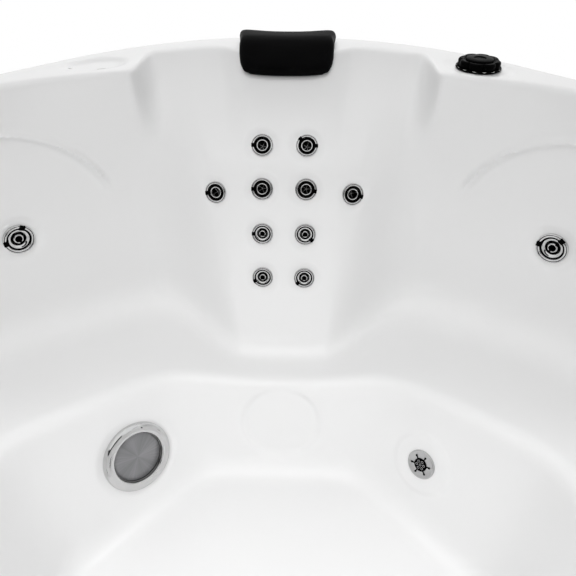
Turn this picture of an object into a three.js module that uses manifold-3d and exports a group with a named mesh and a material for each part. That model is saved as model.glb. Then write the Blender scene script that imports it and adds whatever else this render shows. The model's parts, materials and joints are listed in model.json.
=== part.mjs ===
// A square hot tub with broad round corners: a moulded shell with a footwell, four corner
// seats and four side seats, in a slatted cabinet. +Z is up, the origin is on the floor
// under the tub's centre, and the seat with the group of ten jets is the +X +Y corner.
import * as THREE from "three";
import { mergeVertices } from "three/addons/utils/BufferGeometryUtils.js";
import Module from "manifold-3d";

const wasm = await Module();
wasm.setup();

// The tub as a whole, in millimetres
const TUB_SIDE = 2000;
const TUB_HEIGHT = 900;
const CORNER_RADIUS = 700;
const FLOOR_LEVEL = 60;
const SHELL_WALL = 12;
const SPOT_FACE = 2;
const RIM_LIP = 60;
const GAP = 0.3;
const WELD = 0.001;
const OVERRUN = 20;

// The shell: rim widths, how far each level steps in below it, seats and footwell
const RIM_WIDTH_SIDE = 82;
const RIM_CLEARANCE = 4.3;
const BACK_DROP = 150;
const BACK_IN_SIDE = 25;
const BACK_IN_CORNER = 180;
const FOOT_IN_SIDE = 25;
const FOOT_IN_CORNER = 160;
const RIM_LOBE_RADIUS = 700;
const BACK_LOBE_RADIUS = 900;
const FOOT_LOBE_RADIUS = 1300;
const SEAT_RISE = 290;
const SEAT_SWING = 72;
const SEAT_DISH = 8;
const SEAT_DEPTH_SIDE = 305;
const SEAT_DEPTH_CORNER = 112.3;
const FOOTWELL_SLOPE = 118;
const FLOOR_ROUND = 50;
const SEAT_FRONT_ROUND = 32;
const SEAT_BACK_ROUND = 95;
const BACK_ROUND = 110;
const RIM_INNER_ROUND = 14;
const RIM_OUTER_ROUND = 22;

// Moulded details of the shell
const ARCH_RADIUS = 226;
const ARCH_RIB_RADIUS = 8;
const ARCH_RIB_HEIGHT = 4;
const ROUND_RECESS_RADIUS = 97;
const ROUND_RECESS_DEPTH = 6;
const ROUND_RECESS_RISE = 118;
const DRAIN_PAD_RADIUS = 70;
const DRAIN_PAD_HEIGHT = 3;
const TRAY_LENGTH = 150;
const TRAY_WIDTH = 84;
const TRAY_DEPTH = 6;
const RIM_FITTING_ANGLE = 25;
const RIM_FITTING_CLEARANCE = 5.9;

// Jets of the corner seat and of the two side seats beside it
const JET_COLUMN = 50;
const JET_OUTER_COLUMN = 157;
const SMALL_JET_RADIUS = 25;
const SIDE_JET_RADIUS = 34;
const SIDE_JET_OFFSET = 54;
const JET_FACE_HEIGHT = 7;
const JET_SEAT_DEPTH = 4;
const JET_STEM_CLEARANCE = 6;
const JET_STEM_WALL = 4;
const JET_RING_LAP = 3;
const JET_BODY_WALL = 4;
const JET_BODY_DEPTH = 46;
const JET_STEM_LENGTH = JET_BODY_DEPTH - JET_STEM_CLEARANCE;
const MANIFOLD_PIPE_RADIUS = 17;
const HOSE_RADIUS = 12;

// Underwater light, drain and suction fittings in the footwell wall
const FOOTWELL_FITTING_RISE = 127;
const FOOTWELL_FITTING_OFFSET = 42;
const LIGHT_RADIUS = 80;
const LIGHT_LENS_RADIUS = 58;
const LIGHT_RING_HEIGHT = 12;
const LIGHT_HOUSING_DEPTH = 55;
const LIGHT_HOUSING_WALL = 5;
const DRAIN_RADIUS = 33;
const DRAIN_HEIGHT = 6;
const DRAIN_STEM_RADIUS = 20;
const DRAIN_STEM_LENGTH = 60;
const DRAIN_STEM_WALL = 4;
const DRAIN_HOLES = 6;
const SUCTION_RADIUS = 62;
const SUCTION_HEIGHT = 22;
const SUCTION_STEM_RADIUS = 30;
const SUCTION_BODY_DEPTH = 60;
const SUCTION_WALL = 5;
const SUCTION_SLOTS = 5;
const SUCTION_RISE = 140;

// Filter behind the wall of the high corner seat
const FILTER_MOUTH_WIDTH = 150;
const FILTER_MOUTH_HEIGHT = 220;
const FILTER_PLATE_BORDER = 22;
const FILTER_PLATE_THICKNESS = 8;
const FILTER_BODY_DEPTH = 132;
const FILTER_BODY_WALL = 6;
const FILTER_RADIUS = 54;
const FILTER_CORE_RADIUS = 18;
const FILTER_SLOT_WIDTH = 9;
const FILTER_SLOTS = 9;
const FILTER_PLEATS = 18;
const FILTER_PLEAT_DEPTH = 7;

// Controls on the rim
const KNOB_RADIUS = 44;
const KNOB_HEIGHT = 19;
const KNOB_STEM_RADIUS = 12;
const KNOB_GRIPS = 8;
const VALVE_RADIUS = 30;
const VALVE_DEPTH = 90;
const VALVE_FLANGE_RADIUS = 47;
const VALVE_FLANGE_HEIGHT = 3;
const AIR_KNOB_RADIUS = 26;
const AIR_KNOB_HEIGHT = 15;
const AIR_VALVE_RADIUS = 20;
const AIR_FLANGE_RADIUS = 29;
const AIR_VALVE_DEPTH = 60;
const PANEL_LENGTH = 150;
const PANEL_WIDTH = 76;
const PANEL_HEIGHT = 8;
const PANEL_DEPTH = 28;
const BUTTON_RADIUS = 11;
const BUTTON_PITCH = 38;
const BUTTON_HEIGHT = 6;
const BUTTON_PROUD = 2.5;

// Headrest pillow
const PILLOW_WIDTH = 236;
const PILLOW_TAPER = 20;
const PILLOW_CROWN = 34;
const PILLOW_EDGE = 7;
const PILLOW_OVER_RIM = 96;
const PILLOW_DOWN_BACK = 74;

// Cabinet, frame and base
const LIP_CLEARANCE = 8;
const SKIN_THICKNESS = 18;
const SLAT_GROOVE = 8;
const SLAT_GROOVE_DEPTH = 5;
const SEAM = 3;
const PAN_THICKNESS = 12;
const RAIL_THICKNESS = 15;
const TOP_RAIL_HEIGHT = 90;
const BOTTOM_RAIL_HEIGHT = 60;
const POST_WIDTH = 60;
const PEDESTAL_RADIUS = 380;

// Equipment under the high corner seat
const EQUIPMENT_ANGLE = -45;
const MOTOR_RADIUS = 78;
const MOTOR_LENGTH = 230;
const MOTOR_OVERHANG = 58;
const PUMP_CLEARANCE = 49;
const WET_END_RADIUS = 92;
const WET_END_LENGTH = 84;
const WET_END_WALL = 9;
const PUMP_AXIS_HEIGHT = 125;
const PUMP_FOOT_WIDTH = 120;
const PUMP_FOOT_LENGTH = 150;
const SHAFT_RADIUS = 9;
const SHAFT_CLEARANCE = 1;
const IMPELLER_RADIUS = 60;
const IMPELLER_THICKNESS = 22;
const PORT_RADIUS = 24;
const HEATER_RADIUS = 32;
const HEATER_LENGTH = 320;
const HEATER_CAP_LENGTH = 26;
const HEATER_CAP_WALL = 5;
const BOX_LENGTH = 300;
const BOX_WIDTH = 88;
const BOX_HEIGHT = 210;
const BOX_CLEARANCE = 42;
const PIPE_RADIUS = 30;
const PIPE_LEVEL = 180;
const PIPE_OUT = 207;
const PIPE_TIGHT_OUT = 137;

// Angles in degrees and shares of lengths
const SEATS_ANGLE = 45;
const HALF_RIGHT = 45;
const BLEND_ANGLES = { foot: [9, 24], back: [12, 21.5], rim: [17, 21.5] };
const FOLD_ANGLES = [0, 9, 14, 17, 21.5, 28, 36, 45];
const HOSE_ANGLES = [34, 27, 20];
const SUCTION_RUN_ANGLES = [282, 291];
const SUCTION_LINK_ANGLES = [190, 207, 225, 243, 258];
const FILTER_RUN_ANGLES = [142, 155, 168];
const PRESSURE_RUN_ANGLES = [-18, -5, 8, 21, 33];
const ARCH_START = -60;
const ARCH_END = 75;
const ARCH_STEP = 15;
const ARCH_STEPS = 11;
const FOOTWELL_POWER = 26;
const LONGEST_ROUND_SHARE = 0.45;
const JET_ROW_SHARES = [0.246, 0.384, 0.543, 0.708];
const JET_OUTER_SHARE = 0.4003;
const SIDE_JET_SHARE = 0.5691;
const FILTER_SHARE = 0.6276;
const DRAIN_HOLES_SHARE = 0.6;
const SLOT_LENGTH_SHARE = 0.65;
const FILTER_SLOT_SHARE = 0.84;
const KNOB_RING_SHARE = 0.72;
const PILLOW_BEND_SHARE = 0.62;
const PILLOW_END_SHARE = 0.42;
const EYEBALL_CUT = 56;
const JET_SIDES = 10;
const FITTING_SIDES = 14;
const PIPE_SIDES = 7;
const LIGHT_SIDES = 20;
const KNOB_SIDES = 16;
const ROUND_STEPS = [0, 2, 2, 2, 2, 2, 1, 0];
const SLATS_PER_SIDE = 6;
const SLATS_PER_CORNER = 8;

const HALF = TUB_SIDE / 2;
const STRAIGHT = HALF - CORNER_RADIUS;
const SKIN_INSET = SHELL_WALL + LIP_CLEARANCE;
const RAIL_INSET = SKIN_INSET + SKIN_THICKNESS + GAP;
const FRAME_INSET = RAIL_INSET + RAIL_THICKNESS;
const radians = THREE.MathUtils.degToRad;

// Colours and finishes
const finish = (color, roughness, metalness = 0) =>
  new THREE.MeshStandardMaterial({ color, roughness, metalness });
const ACRYLIC = finish(0xf1f1f0, 0.12);
const PILLOW = finish(0x121214, 0.45);
const CHROME = finish(0xc9cbcf, 0.12, 1);
const STEEL = finish(0x8d8f92, 0.3, 1);
const BLACK = finish(0x17181a, 0.35);
const CABINET = finish(0x6f6a64, 0.7);
const TIMBER = finish(0xb89468, 0.8);
const PAN = finish(0x26272a, 0.6);
const PIPE = finish(0xe4e4e0, 0.4);
const LENS = finish(0x9fa3a6, 0.3);
const PLEATS = finish(0xdfe6ea, 0.8);

// Solids from three.js geometry, for joining and cutting
function solidOf(geometry) {
  const bare = geometry.index ? geometry.toNonIndexed() : geometry.clone();
  bare.deleteAttribute("normal");
  bare.deleteAttribute("uv");
  const merged = mergeVertices(bare, WELD);
  const corners = merged.index.array;
  const triVerts = [];
  for (let i = 0; i < corners.length; i += 3) {
    const [a, b, c] = corners.slice(i, i + 3);
    if (a !== b && b !== c && c !== a) triVerts.push(a, b, c);
  }
  const made = (order) =>
    new wasm.Manifold(
      new wasm.Mesh({
        numProp: 3,
        vertProperties: merged.attributes.position.array,
        triVerts: new Uint32Array(order),
      }),
    );
  const first = made(triVerts);
  return first.volume() > 0 ? first : made(triVerts.reverse());
}

function geometryOf(solid) {
  const { numProp, numVert, vertProperties, triVerts } = solid.getMesh();
  const position = new Float32Array(numVert * 3);
  for (let i = 0; i < numVert; i++)
    position.set(vertProperties.subarray(i * numProp, i * numProp + 3), i * 3);
  const geometry = new THREE.BufferGeometry();
  geometry.setAttribute("position", new THREE.BufferAttribute(position, 3));
  geometry.setIndex(new THREE.BufferAttribute(new Uint32Array(triVerts), 1));
  geometry.computeVertexNormals();
  return geometry;
}

function piece(name, solid, material) {
  const mesh = new THREE.Mesh(geometryOf(solid), material);
  mesh.name = name;
  return mesh;
}

function joined(solids) {
  return solids.reduce((all, next) => all.add(next));
}

// A turned form about the local Z axis, from a profile of radius and height pairs
function turned(profile, sides = FITTING_SIDES) {
  const points = profile.map(([r, z]) => new THREE.Vector2(r, z));
  return new THREE.LatheGeometry(points, sides).rotateX(Math.PI / 2);
}

function disc(radius, low, high, sides = FITTING_SIDES) {
  return turned([[0, low], [radius, low], [radius, high], [0, high]], sides);
}

// The largest radius that turns freely in a bore with flat sides, and the bore for a radius
const innerClear = (bore, sides) => bore * Math.cos(Math.PI / sides) - GAP;
const boreFor = (radius, sides) => (radius + GAP) / Math.cos(Math.PI / sides);

function block(width, depth, low, high) {
  return new THREE.BoxGeometry(width, depth, high - low).translate(0, 0, (low + high) / 2);
}

function prism(outline, low, high) {
  const shape = new THREE.Shape(outline.map(([x, y]) => new THREE.Vector2(x, y)));
  const depth = high - low;
  return new THREE.ExtrudeGeometry(shape, { depth, bevelEnabled: false }).translate(0, 0, low);
}

// A rounded bar's outline, such as the control panel and the rim's tray
function slotOutline(length, width, steps = 6) {
  const reach = (length - width) / 2;
  const end = (side) =>
    Array.from({ length: steps + 1 }, (_, i) => {
      const turn = -Math.PI / 2 + (Math.PI * i) / steps;
      return [
        side * (reach + (width / 2) * Math.cos(turn)),
        side * (width / 2) * Math.sin(turn),
      ];
    });
  return [...end(1), ...end(-1)];
}

// A round pipe along smooth points
function pipe(points, radius, steps, sides = PIPE_SIDES) {
  const path = new THREE.CatmullRomCurve3(points, false, "centripetal");
  const section = Array.from({ length: sides }, (_, i) => {
    const turn = (2 * Math.PI * i) / sides;
    return new THREE.Vector2(radius * Math.cos(turn), radius * Math.sin(turn));
  });
  return new THREE.ExtrudeGeometry(new THREE.Shape(section), { steps, extrudePath: path });
}

// The shell's form
// Every level is a distance from the tub's upright axis, by the angle from the nearest diagonal.
const fold = (angle) => Math.abs((((angle % 90) + 90) % 90) - HALF_RIGHT);

function outline(angle, inset) {
  const half = HALF - inset;
  const radius = CORNER_RADIUS - inset;
  const folded = fold(angle);
  const fromSide = radians(HALF_RIGHT - folded);
  if (half * Math.tan(fromSide) <= half - radius) return half / Math.cos(fromSide);
  const centre = (half - radius) * Math.SQRT2;
  const turn = radians(folded);
  return centre * Math.cos(turn) + Math.sqrt(radius ** 2 - (centre * Math.sin(turn)) ** 2);
}

function lobe(folded, apex, radius) {
  const turn = radians(HALF_RIGHT - folded);
  const centre = apex - radius;
  return centre * Math.cos(turn) + Math.sqrt(radius ** 2 - (centre * Math.sin(turn)) ** 2);
}

const RIM_APEX = HALF - RIM_WIDTH_SIDE;
// A corner seat's back is flat, and its ends come closest to the cabinet's frame.
const CHORD_END = BLEND_ANGLES.rim[0];
const CHORD_END_REACH = outline(SEATS_ANGLE - CHORD_END, 0) - FRAME_INSET - SHELL_WALL - RIM_CLEARANCE;
const RIM_CHORD = CHORD_END_REACH * Math.cos(radians(CHORD_END));
const BACK_APEX = RIM_APEX - BACK_IN_SIDE;
const BACK_CHORD = RIM_CHORD - BACK_IN_CORNER;
const LEVELS = {
  rim: [RIM_APEX, RIM_LOBE_RADIUS, RIM_CHORD],
  back: [BACK_APEX, BACK_LOBE_RADIUS, BACK_CHORD],
  foot: [BACK_APEX - FOOT_IN_SIDE, FOOT_LOBE_RADIUS, BACK_CHORD - FOOT_IN_CORNER],
};

const FOOTWELL_CORNER = LEVELS.foot[2] - SEAT_DEPTH_CORNER;
const FOOTWELL_SIDE = LEVELS.foot[0] - SEAT_DEPTH_SIDE;
const FLOOR_REACH = FOOTWELL_SIDE - FOOTWELL_SLOPE;
const PIPE_REACH = FOOTWELL_SIDE + PIPE_OUT;
const PIPE_TIGHT_REACH = FOOTWELL_SIDE + PIPE_TIGHT_OUT;

function level(name, angle) {
  const [apex, radius, chord] = LEVELS[name];
  const [from, to] = BLEND_ANGLES[name];
  const folded = fold(angle);
  const share = THREE.MathUtils.smoothstep(folded, from, to);
  return (chord / Math.cos(radians(folded))) * (1 - share) + lobe(folded, apex, radius) * share;
}

function footwell(angle, corner, side) {
  let sum = 0;
  for (let k = 0; k < 8; k++) {
    const facing = Math.cos(radians(angle - k * HALF_RIGHT));
    const reach = k % 2 ? corner : side;
    if (facing > 0) sum += (facing / reach) ** FOOTWELL_POWER;
  }
  return sum ** (-1 / FOOTWELL_POWER);
}

function seatHeight(angle) {
  const swing = SEAT_SWING * Math.cos(radians(2 * (angle - SEATS_ANGLE)));
  return FLOOR_LEVEL + SEAT_RISE - swing;
}

function corners(angle) {
  const seat = seatHeight(angle);
  const edge = outline(angle, 0);
  return [
    [0, FLOOR_LEVEL],
    [footwell(angle, FLOOR_REACH, FLOOR_REACH), FLOOR_LEVEL],
    [footwell(angle, FOOTWELL_CORNER, FOOTWELL_SIDE), seat],
    [level("foot", angle), seat - SEAT_DISH],
    [level("back", angle), TUB_HEIGHT - BACK_DROP],
    [level("rim", angle), TUB_HEIGHT],
    [edge, TUB_HEIGHT],
    [edge, TUB_HEIGHT - RIM_LIP],
  ].map(([r, z]) => new THREE.Vector2(r, z));
}

const ROUNDS = [
  0,
  FLOOR_ROUND,
  SEAT_FRONT_ROUND,
  SEAT_BACK_ROUND,
  BACK_ROUND,
  RIM_INNER_ROUND,
  RIM_OUTER_ROUND,
  0,
];

// Rounds the corners of a profile, each with a curve that starts its round away.
function rounded(points, rounds, steps) {
  const made = [points[0]];
  for (let i = 1; i < points.length - 1; i++) {
    const before = points[i - 1].clone().sub(points[i]);
    const after = points[i + 1].clone().sub(points[i]);
    const longest = LONGEST_ROUND_SHARE * Math.min(before.length(), after.length());
    const reach = Math.min(rounds[i], longest);
    const start = points[i].clone().addScaledVector(before.normalize(), reach);
    const end = points[i].clone().addScaledVector(after.normalize(), reach);
    const curve = new THREE.QuadraticBezierCurve(start, points[i], end);
    made.push(...(steps[i] ? curve.getPoints(steps[i]) : [points[i]]));
  }
  made.push(points[points.length - 1]);
  return made;
}

// The same profile some way further out, on the shell's hidden side
function offset(points, away) {
  const normals = points.slice(1).map((point, i) => {
    const along = point.clone().sub(points[i]).normalize();
    return new THREE.Vector2(along.y, -along.x);
  });
  return points.map((point, i) => {
    const first = normals[Math.max(i - 1, 0)];
    const second = normals[Math.min(i, normals.length - 1)];
    const middle = first.clone().add(second);
    const reach = (2 * away) / middle.lengthSq();
    return point.clone().addScaledVector(middle, reach);
  });
}

const surface = (angle) => rounded(corners(angle), ROUNDS, ROUND_STEPS);

// A closed body from one profile for each angle, with both ends on the upright axis
function lofted(profiles, angles) {
  const count = profiles[0].length;
  const position = [];
  const at = (i, j) => {
    const { x, y } = profiles[i % angles.length][j];
    const turn = radians(angles[i % angles.length]);
    return [x * Math.cos(turn), x * Math.sin(turn), y];
  };
  for (let i = 0; i < angles.length; i++)
    for (let j = 0; j < count - 1; j++) {
      position.push(...at(i, j), ...at(i + 1, j), ...at(i + 1, j + 1));
      position.push(...at(i, j), ...at(i + 1, j + 1), ...at(i, j + 1));
    }
  const geometry = new THREE.BufferGeometry();
  geometry.setAttribute("position", new THREE.Float32BufferAttribute(position, 3));
  return geometry;
}

const shellAngles = [0, 1, 2, 3].flatMap((quarter) => {
  const diagonal = quarter * 90 + HALF_RIGHT;
  const before = FOLD_ANGLES.slice(1).reverse().map((folded) => diagonal - folded);
  return [...before, ...FOLD_ANGLES.slice(0, -1).map((folded) => diagonal + folded)];
});

function shellBody() {
  const profiles = shellAngles.map((angle) => {
    const top = corners(angle);
    const below = offset(top, SHELL_WALL);
    below[0].set(0, below[0].y);
    below[below.length - 1].setY(top[top.length - 1].y);
    return [...surface(angle), ...below.reverse()];
  });
  return solidOf(lofted(profiles, shellAngles));
}

// A point of the shell's inner surface, and the frame of a fitting that sits there:
// local Z points out of the surface, local X runs level along it.
function surfacePoint(azimuth, side, height) {
  let angle = azimuth;
  let point;
  for (let pass = 0; pass < 6; pass++) {
    const profile = surface(angle);
    let reach = profile[1].x;
    for (let i = 2; i < profile.length; i++) {
      const [low, high] = [profile[i - 1], profile[i]];
      if (low.y <= height && high.y >= height && high.y > low.y) {
        reach = low.x + ((high.x - low.x) * (height - low.y)) / (high.y - low.y);
        break;
      }
    }
    const turn = radians(angle);
    point = new THREE.Vector3(reach * Math.cos(turn), reach * Math.sin(turn), height);
    angle = azimuth + THREE.MathUtils.radToDeg(Math.asin(side / reach));
  }
  return point;
}

// A height on the back over a seat, as a share of the way down from the rim
function backHeight(azimuth, share) {
  return TUB_HEIGHT - share * (TUB_HEIGHT - seatHeight(azimuth));
}

function wallFrame(azimuth, side, height, spread) {
  const at = surfacePoint(azimuth, side, height);
  const across = surfacePoint(azimuth, side + spread, height);
  across.sub(surfacePoint(azimuth, side - spread, height));
  const up = surfacePoint(azimuth, side, height + spread);
  up.sub(surfacePoint(azimuth, side, height - spread));
  const out = across.clone().cross(up).normalize();
  if (out.dot(at) > 0) out.negate();
  const level = new THREE.Vector3(0, 0, 1).cross(out).normalize();
  const frame = new THREE.Matrix4();
  frame.makeBasis(level, out.clone().cross(level), out);
  return frame.setPosition(at);
}

function rimFrame(angle) {
  const turn = radians(angle);
  const frame = new THREE.Matrix4().makeRotationZ(turn + Math.PI / 2);
  const reach = outline(angle, FRAME_INSET) - VALVE_RADIUS - RIM_FITTING_CLEARANCE;
  return frame.setPosition(reach * Math.cos(turn), reach * Math.sin(turn), TUB_HEIGHT);
}

function groupAt(frame, meshes) {
  const group = new THREE.Group();
  frame.decompose(group.position, group.quaternion, group.scale);
  group.add(...meshes);
  return group;
}

const placed = (geometry, frame) => solidOf(geometry.applyMatrix4(frame));

// Where every fitting sits
const jetFrames = [];
const jetFrame = (side, share) =>
  wallFrame(SEATS_ANGLE, side, backHeight(SEATS_ANGLE, share), SMALL_JET_RADIUS);
for (const share of JET_ROW_SHARES)
  for (const side of [JET_COLUMN, -JET_COLUMN]) jetFrames.push(jetFrame(side, share));
for (const side of [JET_OUTER_COLUMN, -JET_OUTER_COLUMN])
  jetFrames.push(jetFrame(side, JET_OUTER_SHARE));
const SIDE_JET_HEIGHT = backHeight(0, SIDE_JET_SHARE);
const sideJetFrames = {
  left: wallFrame(90, -SIDE_JET_OFFSET, SIDE_JET_HEIGHT, SIDE_JET_RADIUS),
  right: wallFrame(0, SIDE_JET_OFFSET, SIDE_JET_HEIGHT, SIDE_JET_RADIUS),
};
const fittingHeight = FLOOR_LEVEL + FOOTWELL_FITTING_RISE;
const lightFrame = wallFrame(90, -FOOTWELL_FITTING_OFFSET, fittingHeight, LIGHT_RADIUS);
const drainFrame = wallFrame(0, FOOTWELL_FITTING_OFFSET, fittingHeight, DRAIN_RADIUS);
const suctionHeight = FLOOR_LEVEL + SUCTION_RISE;
const suctionFrames = [180, 270].map((side) => wallFrame(side, 0, suctionHeight, SUCTION_RADIUS));
const recessFrame = wallFrame(SEATS_ANGLE, 0, FLOOR_LEVEL + ROUND_RECESS_RISE, DRAIN_RADIUS);
const FILTER_ANGLE = SEATS_ANGLE + 90;
const filterHeight = backHeight(FILTER_ANGLE, FILTER_SHARE);
const filterFrame = wallFrame(FILTER_ANGLE, 0, filterHeight, FILTER_MOUTH_WIDTH / 4);
const diverterFrame = rimFrame(SEATS_ANGLE - RIM_FITTING_ANGLE);
const trayFrame = rimFrame(SEATS_ANGLE + RIM_FITTING_ANGLE);
const airFrame = rimFrame(SEATS_ANGLE - 90 + RIM_FITTING_ANGLE);
const panelFrame = rimFrame(SEATS_ANGLE + 180 + RIM_FITTING_ANGLE);

// A seat milled flat in the shell round a fitting's hole
function flatSeat(seat, hole, sides = FITTING_SIDES) {
  const through = -2 * SHELL_WALL - OVERRUN;
  const profile = [[0, through], [hole, through], [hole, -SPOT_FACE], [seat, -SPOT_FACE],
    [seat, OVERRUN], [0, OVERRUN]];
  return turned(profile, sides);
}

const plateWidth = FILTER_MOUTH_WIDTH + 2 * FILTER_PLATE_BORDER;
const plateHeight = FILTER_MOUTH_HEIGHT + 2 * FILTER_PLATE_BORDER;

// The cutters and ribs that turn the plain shell into the moulded one.
// A jet's stem turns inside its body, which passes through the wall under the ring.
const bodyRadius = (radius) => radius - JET_RING_LAP;
const stemRadius = (radius) => innerClear(bodyRadius(radius) - JET_BODY_WALL, JET_SIDES);
const mouthRadius = (radius) => stemRadius(radius) - JET_STEM_WALL;
const eyeballRadius = (radius) => innerClear(mouthRadius(radius), JET_SIDES);
const eyeballCentre = (radius) => -JET_SEAT_DEPTH - eyeballRadius(radius) / 2;

function jetSeat(radius) {
  const hole = bodyRadius(radius) + GAP;
  const flat = radius + JET_SEAT_DEPTH / 2;
  const depth = -JET_SEAT_DEPTH;
  const through = -2 * SHELL_WALL - OVERRUN;
  const slope = 3 * (OVERRUN - depth);
  return turned([[0, through], [hole, through], [hole, depth], [flat, depth],
    [flat + slope, OVERRUN], [0, OVERRUN]], JET_SIDES);
}

function archRib(azimuth, side) {
  const points = [];
  for (let turn = ARCH_START; turn <= ARCH_END; turn += ARCH_STEP) {
    const across = side + Math.sign(side) * ARCH_RADIUS * Math.sin(radians(turn));
    const height = SIDE_JET_HEIGHT + ARCH_RADIUS * Math.cos(radians(turn));
    const inwards = wallFrame(azimuth, across, height, ARCH_RIB_RADIUS);
    points.push(local(inwards, 0, 0, ARCH_RIB_HEIGHT - ARCH_RIB_RADIUS));
  }
  return solidOf(pipe(points, ARCH_RIB_RADIUS, ARCH_STEPS, 4));
}

function shell() {
  let body = shellBody();
  body = body.add(archRib(90, -SIDE_JET_OFFSET)).add(archRib(0, SIDE_JET_OFFSET));
  const pad = disc(DRAIN_PAD_RADIUS, -SHELL_WALL / 2, DRAIN_PAD_HEIGHT);
  body = body.add(placed(pad, drainFrame));
  body = body.subtract(placed(disc(DRAIN_PAD_RADIUS, DRAIN_PAD_HEIGHT, OVERRUN), drainFrame));
  const through = -SHELL_WALL - OVERRUN;
  const suctionHole = SUCTION_STEM_RADIUS + GAP;
  const cuts = [
    ...jetFrames.map((frame) => placed(jetSeat(SMALL_JET_RADIUS), frame)),
    ...Object.values(sideJetFrames).map((frame) => placed(jetSeat(SIDE_JET_RADIUS), frame)),
    placed(disc(ROUND_RECESS_RADIUS, -ROUND_RECESS_DEPTH, OVERRUN), recessFrame),
    placed(flatSeat(LIGHT_RADIUS + SPOT_FACE, LIGHT_LENS_RADIUS, LIGHT_SIDES), lightFrame),
    placed(disc(DRAIN_STEM_RADIUS + GAP, through, OVERRUN), drainFrame),
    ...suctionFrames.map((frame) =>
      placed(flatSeat(SUCTION_RADIUS + SPOT_FACE, suctionHole), frame),
    ),
    placed(block(FILTER_MOUTH_WIDTH, FILTER_MOUTH_HEIGHT, 2 * through, OVERRUN), filterFrame),
    placed(block(plateWidth + 2 * GAP, plateHeight + 2 * GAP, -SPOT_FACE, OVERRUN), filterFrame),
    placed(disc(VALVE_RADIUS + GAP, through, OVERRUN), diverterFrame),
    placed(disc(AIR_VALVE_RADIUS + GAP, through, OVERRUN), airFrame),
    placed(block(PANEL_LENGTH / 2, PANEL_WIDTH / 2, through, OVERRUN), panelFrame),
    placed(prism(slotOutline(TRAY_LENGTH, TRAY_WIDTH), -TRAY_DEPTH, OVERRUN), trayFrame),
  ];
  const cut = cuts.reduce((left, cutter) => left.subtract(cutter), body);
  return piece("shell", cut, ACRYLIC);
}

// Jets: a stepped ring that turns, and on the directional ones an eyeball that tilts
function jetRing(name, radius, hasEyeball) {
  const stem = stemRadius(radius);
  const seat = -JET_SEAT_DEPTH + GAP;
  const mouth = mouthRadius(radius);
  const top = seat + JET_FACE_HEIGHT;
  const outer = [
    [stem, seat - JET_STEM_LENGTH],
    [stem, seat],
    [radius, seat],
    [radius, seat + JET_FACE_HEIGHT / 3],
    [stem, top],
    [mouth, top - JET_FACE_HEIGHT / 3],
  ];
  const back = seat - JET_STEM_LENGTH;
  const inner = hasEyeball
    ? [[mouth, back]]
    : [[mouth, seat - mouth / 2], [mouth / 3, seat - mouth / 2], [mouth / 3, back]];
  return piece(name, solidOf(turned([...outer, ...inner, outer[0]], JET_SIDES)), CHROME);
}

function jetNozzle(name, radius) {
  const ball = eyeballRadius(radius);
  const bore = ball / 3;
  const points = [];
  for (let turn = -EYEBALL_CUT; turn <= EYEBALL_CUT; turn += EYEBALL_CUT / 2)
    points.push([ball * Math.cos(radians(turn)), ball * Math.sin(radians(turn))]);
  const low = points[0][1];
  const high = points[points.length - 1][1];
  const profile = [[bore, low], ...points, [bore, high], [bore, low]];
  const mesh = piece(name, solidOf(turned(profile, JET_SIDES)), BLACK);
  mesh.rotation.z = Math.PI / JET_SIDES;
  mesh.position.setZ(eyeballCentre(radius));
  return mesh;
}

function jets() {
  const groups = jetFrames.map((frame, i) => {
    const number = String(i + 1).padStart(2, "0");
    const directional = i >= 4 && i < 8;
    const meshes = [jetRing("jet_ring_" + number, SMALL_JET_RADIUS, directional)];
    if (directional) meshes.push(jetNozzle("jet_nozzle_" + number, SMALL_JET_RADIUS));
    return groupAt(frame, meshes);
  });
  for (const [side, frame] of Object.entries(sideJetFrames))
    groups.push(
      groupAt(frame, [
        jetRing("side_jet_ring_" + side, SIDE_JET_RADIUS, true),
        jetNozzle("side_jet_nozzle_" + side, SIDE_JET_RADIUS),
      ]),
    );
  return groups;
}

// Jet bodies behind the wall, joined by the water pipes that feed them
function jetBody(radius) {
  const outer = bodyRadius(radius);
  const inner = outer - JET_BODY_WALL;
  const face = -JET_SEAT_DEPTH;
  const back = -SHELL_WALL - JET_BODY_DEPTH;
  return turned([[0, back], [outer, back], [outer, face], [inner, face],
    [inner, back + JET_BODY_WALL], [0, back + JET_BODY_WALL]], JET_SIDES);
}

function local(frame, x, y, z) {
  return new THREE.Vector3(x, y, z).applyMatrix4(frame);
}

function behindWall(angle, height, away) {
  const at = surfacePoint(angle, 0, height);
  const reach = Math.hypot(at.x, at.y);
  return new THREE.Vector3(at.x, at.y, 0).multiplyScalar(1 + away / reach).setZ(height);
}

const MANIFOLD_DEPTH = -SHELL_WALL - JET_BODY_DEPTH - MANIFOLD_PIPE_RADIUS / 2;
const manifoldPoint = (frame) => local(frame, 0, 0, MANIFOLD_DEPTH);
const manifoldFoot = () => manifoldPoint(jetFrames[6]).add(manifoldPoint(jetFrames[7])).divideScalar(2);

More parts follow.
